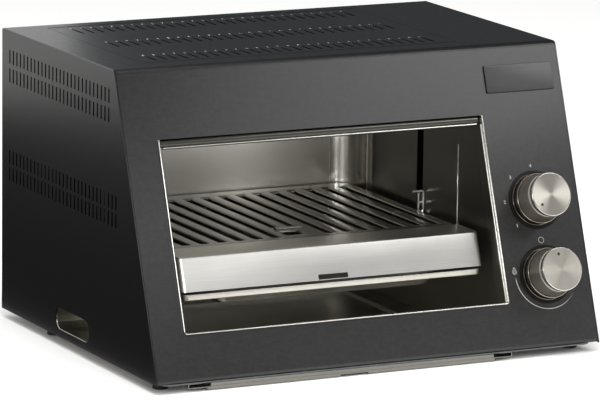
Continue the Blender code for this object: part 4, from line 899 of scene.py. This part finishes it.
def wireHooks(s):
    # One bent wire on each side, carried along straight runs joined by arcs, with a short link.
    for name, side in bothSides:
        near, far, tip = [windowMiddle + side * s[out] for out in ("out", "reachOut", "tipOut")]
        corners = [(tip, s["y"], s["high"]), (far, s["y"], s["high"]), (far, s["y"], s["low"]),
                   (near, s["y"], s["low"]), (near, s["y"], s["high"] - s["radius"])]
        link = np.array([(near, s["y"], s["link"]), (far, s["y"], s["link"])])
        paths = (roundedPath(corners, s["bend"], 8, closed=False), link)
        piece("hook_wire_" + name, [tube(casingPoint(*path.T), s["radius"]) for path in paths],
              hookSteel, "carrier", ["lift_hook_" + name])


# Bare raised plate at the top right, its edge chamfered

plateSet = {
    "x": casing["halfWidth"] - 49.2 * mm,
    **metres(drop=36.1, width=79.0, height=28.6, thick=1.8, corner=1.5, edge=0.5, gap=0.3,
             under=(0.6, 0.4)),
}


def barePlate(s):
    # Outlines stacked outward from the panel: an undercut, the side, and a rounded upper edge.
    middle, half, edge = slopeLength - s["drop"], s["height"] / 2, s["edge"]
    box = (s["x"] - s["width"] / 2, s["x"] + s["width"] / 2, middle - half, middle + half)
    steps = [(s["under"][0], s["gap"]), (0, s["gap"] + s["under"][1]),
             *arc((edge, s["thick"] - edge), edge, 180, 90, 5)]
    rows = [outlineRow(frontPoint, box, inset, s["corner"], out, 5) for inset, out in steps]
    piece("bare_plate", [solid(np.stack(rows))], plateSteel, "casing",
          ["name_plate"])


wireHooks(hookSet)
barePlate(plateSet)


# Feet: turned rubber pads with a waist and a rounded sole

footSet = {
    "rear": casing["depth"] - 97.5 * mm,
    **metres(radius=8.0, sole=1.2, side=18.0, front=31.5, high=-2.1, hollow=(1.5, 3.5, 0.5),
             waist=0.7, collar=(0.8, 0.5)),
}


def rubberFeet(s):
    # One profile of radius and height swung round, from the hollow sole up to the collar.
    low, high, radius, sole = -casing["lowZ"], s["high"], s["radius"], s["sole"]
    inner, outer, rise = s["hollow"]
    drop, inward = s["collar"]
    grid = latheGrid([(inner, low + rise), (outer, low),
                      *arc((radius - sole, low + sole), sole, 270, 360, 6),
                      (radius - s["waist"], (low + high) / 2), (radius, high - drop),
                      (radius - inward, high)], 40)
    for depthName, y in (("front", s["front"]), ("rear", s["rear"])):
        for sideName, side in bothSides:
            x = side * (casing["halfWidth"] - s["side"])
            foot = solid(casingPoint(x + grid[..., 0], y + grid[..., 1], grid[..., 2]))
            piece(f"rubber_foot_{depthName}_{sideName}", [foot], footRubber, "casing",
                  [f"foot_{depthName}_{sideName}"])


rubberFeet(footSet)


# Slots in the top: each has a bare pressed lip turned down at its rear end, which catches light

topSlotSet = {
    "count": 28, "rows": 3, "lipShare": 0.44,
    **metres(pitch=11.66, width=2.8, length=34.5, rowPitch=89.9, firstRow=28.4,
             frontMargin=28.5, leftMargin=43.5, lipDrop=3.2, lipLength=1.5, lipBelow=0.25,
             sheet=0.35),
}


def slotLips(s):
    # A lip is a curved tongue: its drop follows a quarter circle's share from the slot's end.
    middle = (s["leftMargin"] - casing["halfWidth"] + windowRight) / 2
    top, half = casing["height"] - s["lipBelow"], s["width"] * s["lipShare"]
    start = casing["setback"] + s["frontMargin"] + s["firstRow"] + s["length"] / 2
    turn = np.linspace(0, math.pi / 2, 5)
    parts = []
    for row in range(s["rows"]):
        line = np.stack([start + row * s["rowPitch"] - s["lipLength"] * np.sin(turn),
                         top - s["lipDrop"] * (1 - np.cos(turn))], -1)
        section = sheetSection(line, -s["sheet"])
        for slot in range(s["count"]):
            x = middle + (slot - (s["count"] - 1) / 2) * s["pitch"]
            parts.append(extruded(casingPoint, section, (x - half, x + half), 0))
    piece("top_slot_lips", parts, lipSteel, "casing")


slotLips(topSlotSet)


# Hand holes: the lining's turned edge shows as a bright line round the lower half

handLipSet = metres(front=165.0, back=249.0, low=7.0, ends=22.0, radius=10.5, inset=0.8,
                    wire=0.55, behind=1.3)


def handHoleLips(s):
    # A round edge carried down one end, along the bottom and up the other end.
    front, back, low = s["front"] + s["inset"], s["back"] - s["inset"], s["low"] + s["inset"]
    path = roundedPath([(back, s["ends"]), (back, low), (front, low), (front, s["ends"])],
                       s["radius"] - s["inset"], 8, closed=False)
    for name, side in bothSides:
        line = casingPoint(side * (casing["halfWidth"] - s["behind"]), path[:, 0], path[:, 1])
        piece("hand_hole_lip_" + name, [tube(line, s["wire"])], polishedSteel, "casing")


handHoleLips(handLipSet)


# Folded joints and rolled corners on the grill space's walls

jointSet = {
    "cornerSteps": 25,
    **metres(low=1.0, high=231.0, sink=0.05, cornerBack=363.0, cornerRadius=30.0,
             cornerProud=0.4, y=318.0, width=6.0, proud=0.5, stripY=128.0, stripWidth=1.6,
             stripProud=0.8, stripLow=107.0, stripHigh=192.0),
}


def ribSection(wall, side, y, width, proud, sink):
    # A half-ellipse section in x and y, squared a little, that stands on a side wall.
    turn = np.linspace(0, math.pi, 11)
    return np.stack([wall - side * (proud * np.sin(turn) ** 0.6 - sink),
                     y - width / 2 * np.cos(turn)], -1)


def cornerSection(s, wall, side):
    # A thin quarter ring laid into the rear corner: two arcs about the corner's middle.
    turn = np.linspace(0, math.pi / 2, s["cornerSteps"])
    turn = np.concatenate([turn, turn[::-1]])
    radius = s["cornerRadius"] - np.repeat([s["cornerProud"], s["sink"]], s["cornerSteps"])
    return np.stack([wall - side * s["cornerRadius"] + side * radius * np.sin(turn),
                     s["cornerBack"] - s["cornerRadius"] + radius * np.cos(turn)], -1)


def wallJoints(s):
    # Each section is carried straight up between its two heights.
    for name, side, wall in (("left", -1, windowLeft), ("right", 1, windowRight)):
        corner = extruded(casingPoint, cornerSection(s, wall, side), (s["low"], s["high"]), 2)
        # the corner strips carry the liner's finish painted lighter as a highlight
        piece("liner_corner_" + name, [corner], cornerSteelPaintedLighter, "casing", angle=40)
        for part, y, width, proud, low, high, finish in (
                ("joint_", s["y"], s["width"], s["proud"], s["low"], s["high"], wallSteelPaintedShade),
                ("strip_", s["stripY"], s["stripWidth"], s["stripProud"], s["stripLow"],
                 s["stripHigh"], polishedSteel)):
            rib = extruded(casingPoint, ribSection(wall, side, y, width, proud, s["sink"]),
                           (low, high), 2)
            piece("liner_" + part + name, [rib], finish, "casing")


wallJoints(jointSet)
print("hooks, plate, feet, slot lips and joints made")


# CAD nodes that keep their shape get their finish

carried = {
    darkSteel: ["front_panel"],
    casingSteel: ["casing_shell", "top_vent_plate", "rear_panel"],
    # the base plate's darker front is painted shade, its pale inside painted light
    baseSteel: ["base_plate"],
    platedSteel: ["burner_hood", "mixing_tube", "supply_pipe", "burner_pipe", "spindle_bracket",
                  "shaft_bearing_left", "shaft_bearing_right", "lift_plate_left",
                  "lift_plate_right", "lift_toothed_strip", "lift_crossbar", "height_spindle",
                  "height_pinion", "cross_shaft", "gas_stem"],
    linerSteel: ["liner_back"],
    # the side walls' finish is a darker copy of the liner's, as painted shade
    wallSteelPaintedShade: ["liner_left", "liner_right"],
    liningSteel: ["hand_hole_lining_left", "hand_hole_lining_right"],
    polishedSteel: ["guide_rod_left", "guide_rod_right", "rack_rail_left", "rack_rail_right"],
    # the drawer's dark front is painted shade
    drawerSteel: ["crumb_drawer", "drawer_runner_left", "drawer_runner_right"],
    turnedBrass: ["gas_valve", "gas_inlet", "injector", "guide_shoe_left", "guide_shoe_right",
                  "thermocouple"],
    tileCeramic: ["burner_tile_left", "burner_tile_middle", "burner_tile_right", "igniter"],
}
for finish, names in carried.items():
    for name in names:
        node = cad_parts[name]
        if not node.material_slots:
            node.data.materials.append(finish)
        for holder in node.material_slots:
            holder.material = finish
print("finishes given to the carried nodes")


# Studio: a white floor that keeps the shadow, a white room, soft lamps, and grey cards that
# only the metal sees, as a photographer stands them round bright steel

studioSet = {"floorHalf": 9.0, "floorTone": "#f2f2f0", "floorGlow": 0.02, "roomLight": 0.86}
lampSet = {       # place, aim, size and watts
    "overhead softbox": ((-0.35, -0.4, 2.4), (0, 0, 0.1), (1.3, 1.3), 46),
    "right softbox": ((1.25, -1.35, 1.35), (0.15, -0.1, 0.25), (0.8, 0.8), 12),
    "left softbox": ((-0.7, -1.5, 0.75), (0.12, 0, 0.13), (0.35, 0.35), 4),
    "small lamp in the window": ((0.115, -0.06, 0.165), (0.144, 0.0, 0.125), (0.03, 0.03), 0.035),
    "fill under the burner": ((-0.03, 0.02, 0.238), (-0.03, 0.02, 0.1), (0.30, 0.16), 0.12),
}
cardSet = {       # tone, then the lower edge's two ends and the upper edge's two ends
    "card behind left": ("#484848", [
        (-0.27, 0.75, 0.0), (-0.95, 0.10, 0.0), (-0.27, 0.75, 0.15), (-0.95, 0.10, 0.15)]),
    "card on the floor at left": ("#404040", [
        (-0.26, -0.30, 0.002), (-0.95, -0.30, 0.002), (-0.26, 0.75, 0.002), (-0.95, 0.75, 0.002)]),
    "card behind right": ("#5a5c60", [
        (0.10, 0.8, 0.05), (1.6, 0.4, 0.05), (0.10, 0.8, 1.3), (1.6, 0.4, 1.3)]),
    "card at right": ("#2c2c2c", [
        (1.6, 0.45, 0.28), (1.7, -0.7, 0.28), (1.6, 0.45, 1.3), (1.7, -0.7, 1.3)]),
    "card overhead": ("#303030", [
        (-0.6, -0.8, 1.0), (1.2, -0.8, 1.0), (-0.6, 0.6, 1.2), (1.2, 0.6, 1.2)]),
    "card in front at left": ("#7e7e7e", [
        (-0.6, -0.5, 0.02), (0.04, -0.5, 0.067), (-0.6, -0.5, 0.05), (0.04, -0.5, 0.277)]),
    "card in front, low": ("#bebebe", [
        (0.04, -0.5, 0.067), (0.9, -0.5, 0.13), (0.04, -0.5, 0.27), (0.9, -0.5, 0.32)]),
    "card in front, high": ("#606060", [
        (0.04, -0.5, 0.27), (0.36, -0.5, 0.289), (0.04, -0.5, 0.34), (0.36, -0.5, 0.44)]),
    "card in front, high at right": ("#868686", [
        (0.36, -0.5, 0.289), (0.9, -0.5, 0.32), (0.36, -0.5, 0.41), (0.9, -0.5, 0.57)]),
    "card above in front": ("#686868", [
        (-0.8, -0.5, 0.40), (0.10, -0.5, 0.42), (-0.8, -0.5, 0.95), (0.30, -0.5, 0.95)]),
    "card on the floor in front": ("#303030", [
        (-1.2, -1.2, 0.0004), (-0.15, -1.2, 0.0004), (-1.2, -0.3, 0.0004), (-0.15, -0.3, 0.0004)]),
}


def stageSheet(name, grid, finish):
    # A grid of points as a sheet with its finish.
    points, faces = surface(grid)
    data = bpy.data.meshes.new(name)
    data.from_pydata(points.tolist(), [], faces)
    data.materials.append(finish)
    sheet = newObject(name, data)
    return sheet


def seenShare(tree):
    # 1 for what the camera, mirrors and glass see, 0 for what lights the object.
    way = addNode(tree, "ShaderNodeLightPath", {})
    seen = way.outputs["Is Camera Ray"]
    for ray in ("Is Glossy Ray", "Is Transmission Ray"):
        seen = addNode(tree, "ShaderNodeMath", {0: seen, 1: way.outputs[ray]},
                       operation="MAXIMUM").outputs[0]
    return seen


def studioFloor(s):
    # A flat grid on the ground. What the camera and mirrors see is lifted a little.
    made, tree = newMaterial("matt white studio floor")
    glow = addNode(tree, "ShaderNodeMath", {0: seenShare(tree), 1: s["floorGlow"]},
                   operation="MULTIPLY")
    matt = addNode(tree, "ShaderNodeBsdfDiffuse", {"Color": toLinear(s["floorTone"])})
    light = addNode(tree, "ShaderNodeEmission", {"Strength": glow.outputs[0]})
    both = addNode(tree, "ShaderNodeAddShader", {0: matt.outputs[0], 1: light.outputs[0]})
    addNode(tree, "ShaderNodeOutputMaterial", {"Surface": both.outputs[0]})
    ends = np.linspace(-s["floorHalf"], s["floorHalf"], 9)
    plane = np.stack(np.meshgrid(ends, ends, [0.0], indexing="ij"), -1)[:, :, 0]
    stageSheet("studio floor", plane, made)


def studioRoom(s):
    # A white world: full strength to the camera and to mirrors, softer as light.
    scene.world = bpy.data.worlds.new("white room")
    scene.world.use_nodes = True
    tree = scene.world.node_tree
    tree.nodes.clear()
    strength = addNode(tree, "ShaderNodeMapRange", {"Value": seenShare(tree),
                                                    "To Min": s["roomLight"], "To Max": 1.0})
    back = addNode(tree, "ShaderNodeBackground", {"Color": (1, 1, 1, 1),
                                                  "Strength": strength.outputs[0]})
    addNode(tree, "ShaderNodeOutputWorld", {"Surface": back.outputs[0]})


def softLamps(lamps):
    # Rectangular lamps turned from their place to their aim, unseen by the camera.
    for name, (place, aim, size, watts) in lamps.items():
        data = bpy.data.lights.new(name, "AREA")
        data.shape, data.energy = "RECTANGLE", watts
        data.size, data.size_y = size
        lamp = newObject(name, data)
        lamp.location = place
        lamp.rotation_euler = (Vector(aim) - Vector(place)).to_track_quat("-Z", "Y").to_euler()
        lamp.visible_camera = False


def greyCards(cards):
    # Each card is the flat sheet between four corners, blended along both sides.
    for name, (tone, corners) in cards.items():
        made, tree = newMaterial(name)
        matt = addNode(tree, "ShaderNodeEmission", {"Color": toLinear(tone), "Strength": 1.0})
        addNode(tree, "ShaderNodeOutputMaterial", {"Surface": matt.outputs[0]})
        low, lowEnd, high, highEnd = np.array(corners)
        ends = np.linspace(0, 1, 5)
        along, up = ends[:, None, None], ends[None, :, None]
        card = stageSheet(name, (low * (1 - along) + lowEnd * along) * (1 - up)
                          + (high * (1 - along) + highEnd * along) * up, made)
        card.visible_camera = card.visible_diffuse = card.visible_shadow = False


studioFloor(studioSet)
studioRoom(studioSet)
softLamps(lampSet)
greyCards(cardSet)
print("studio set")
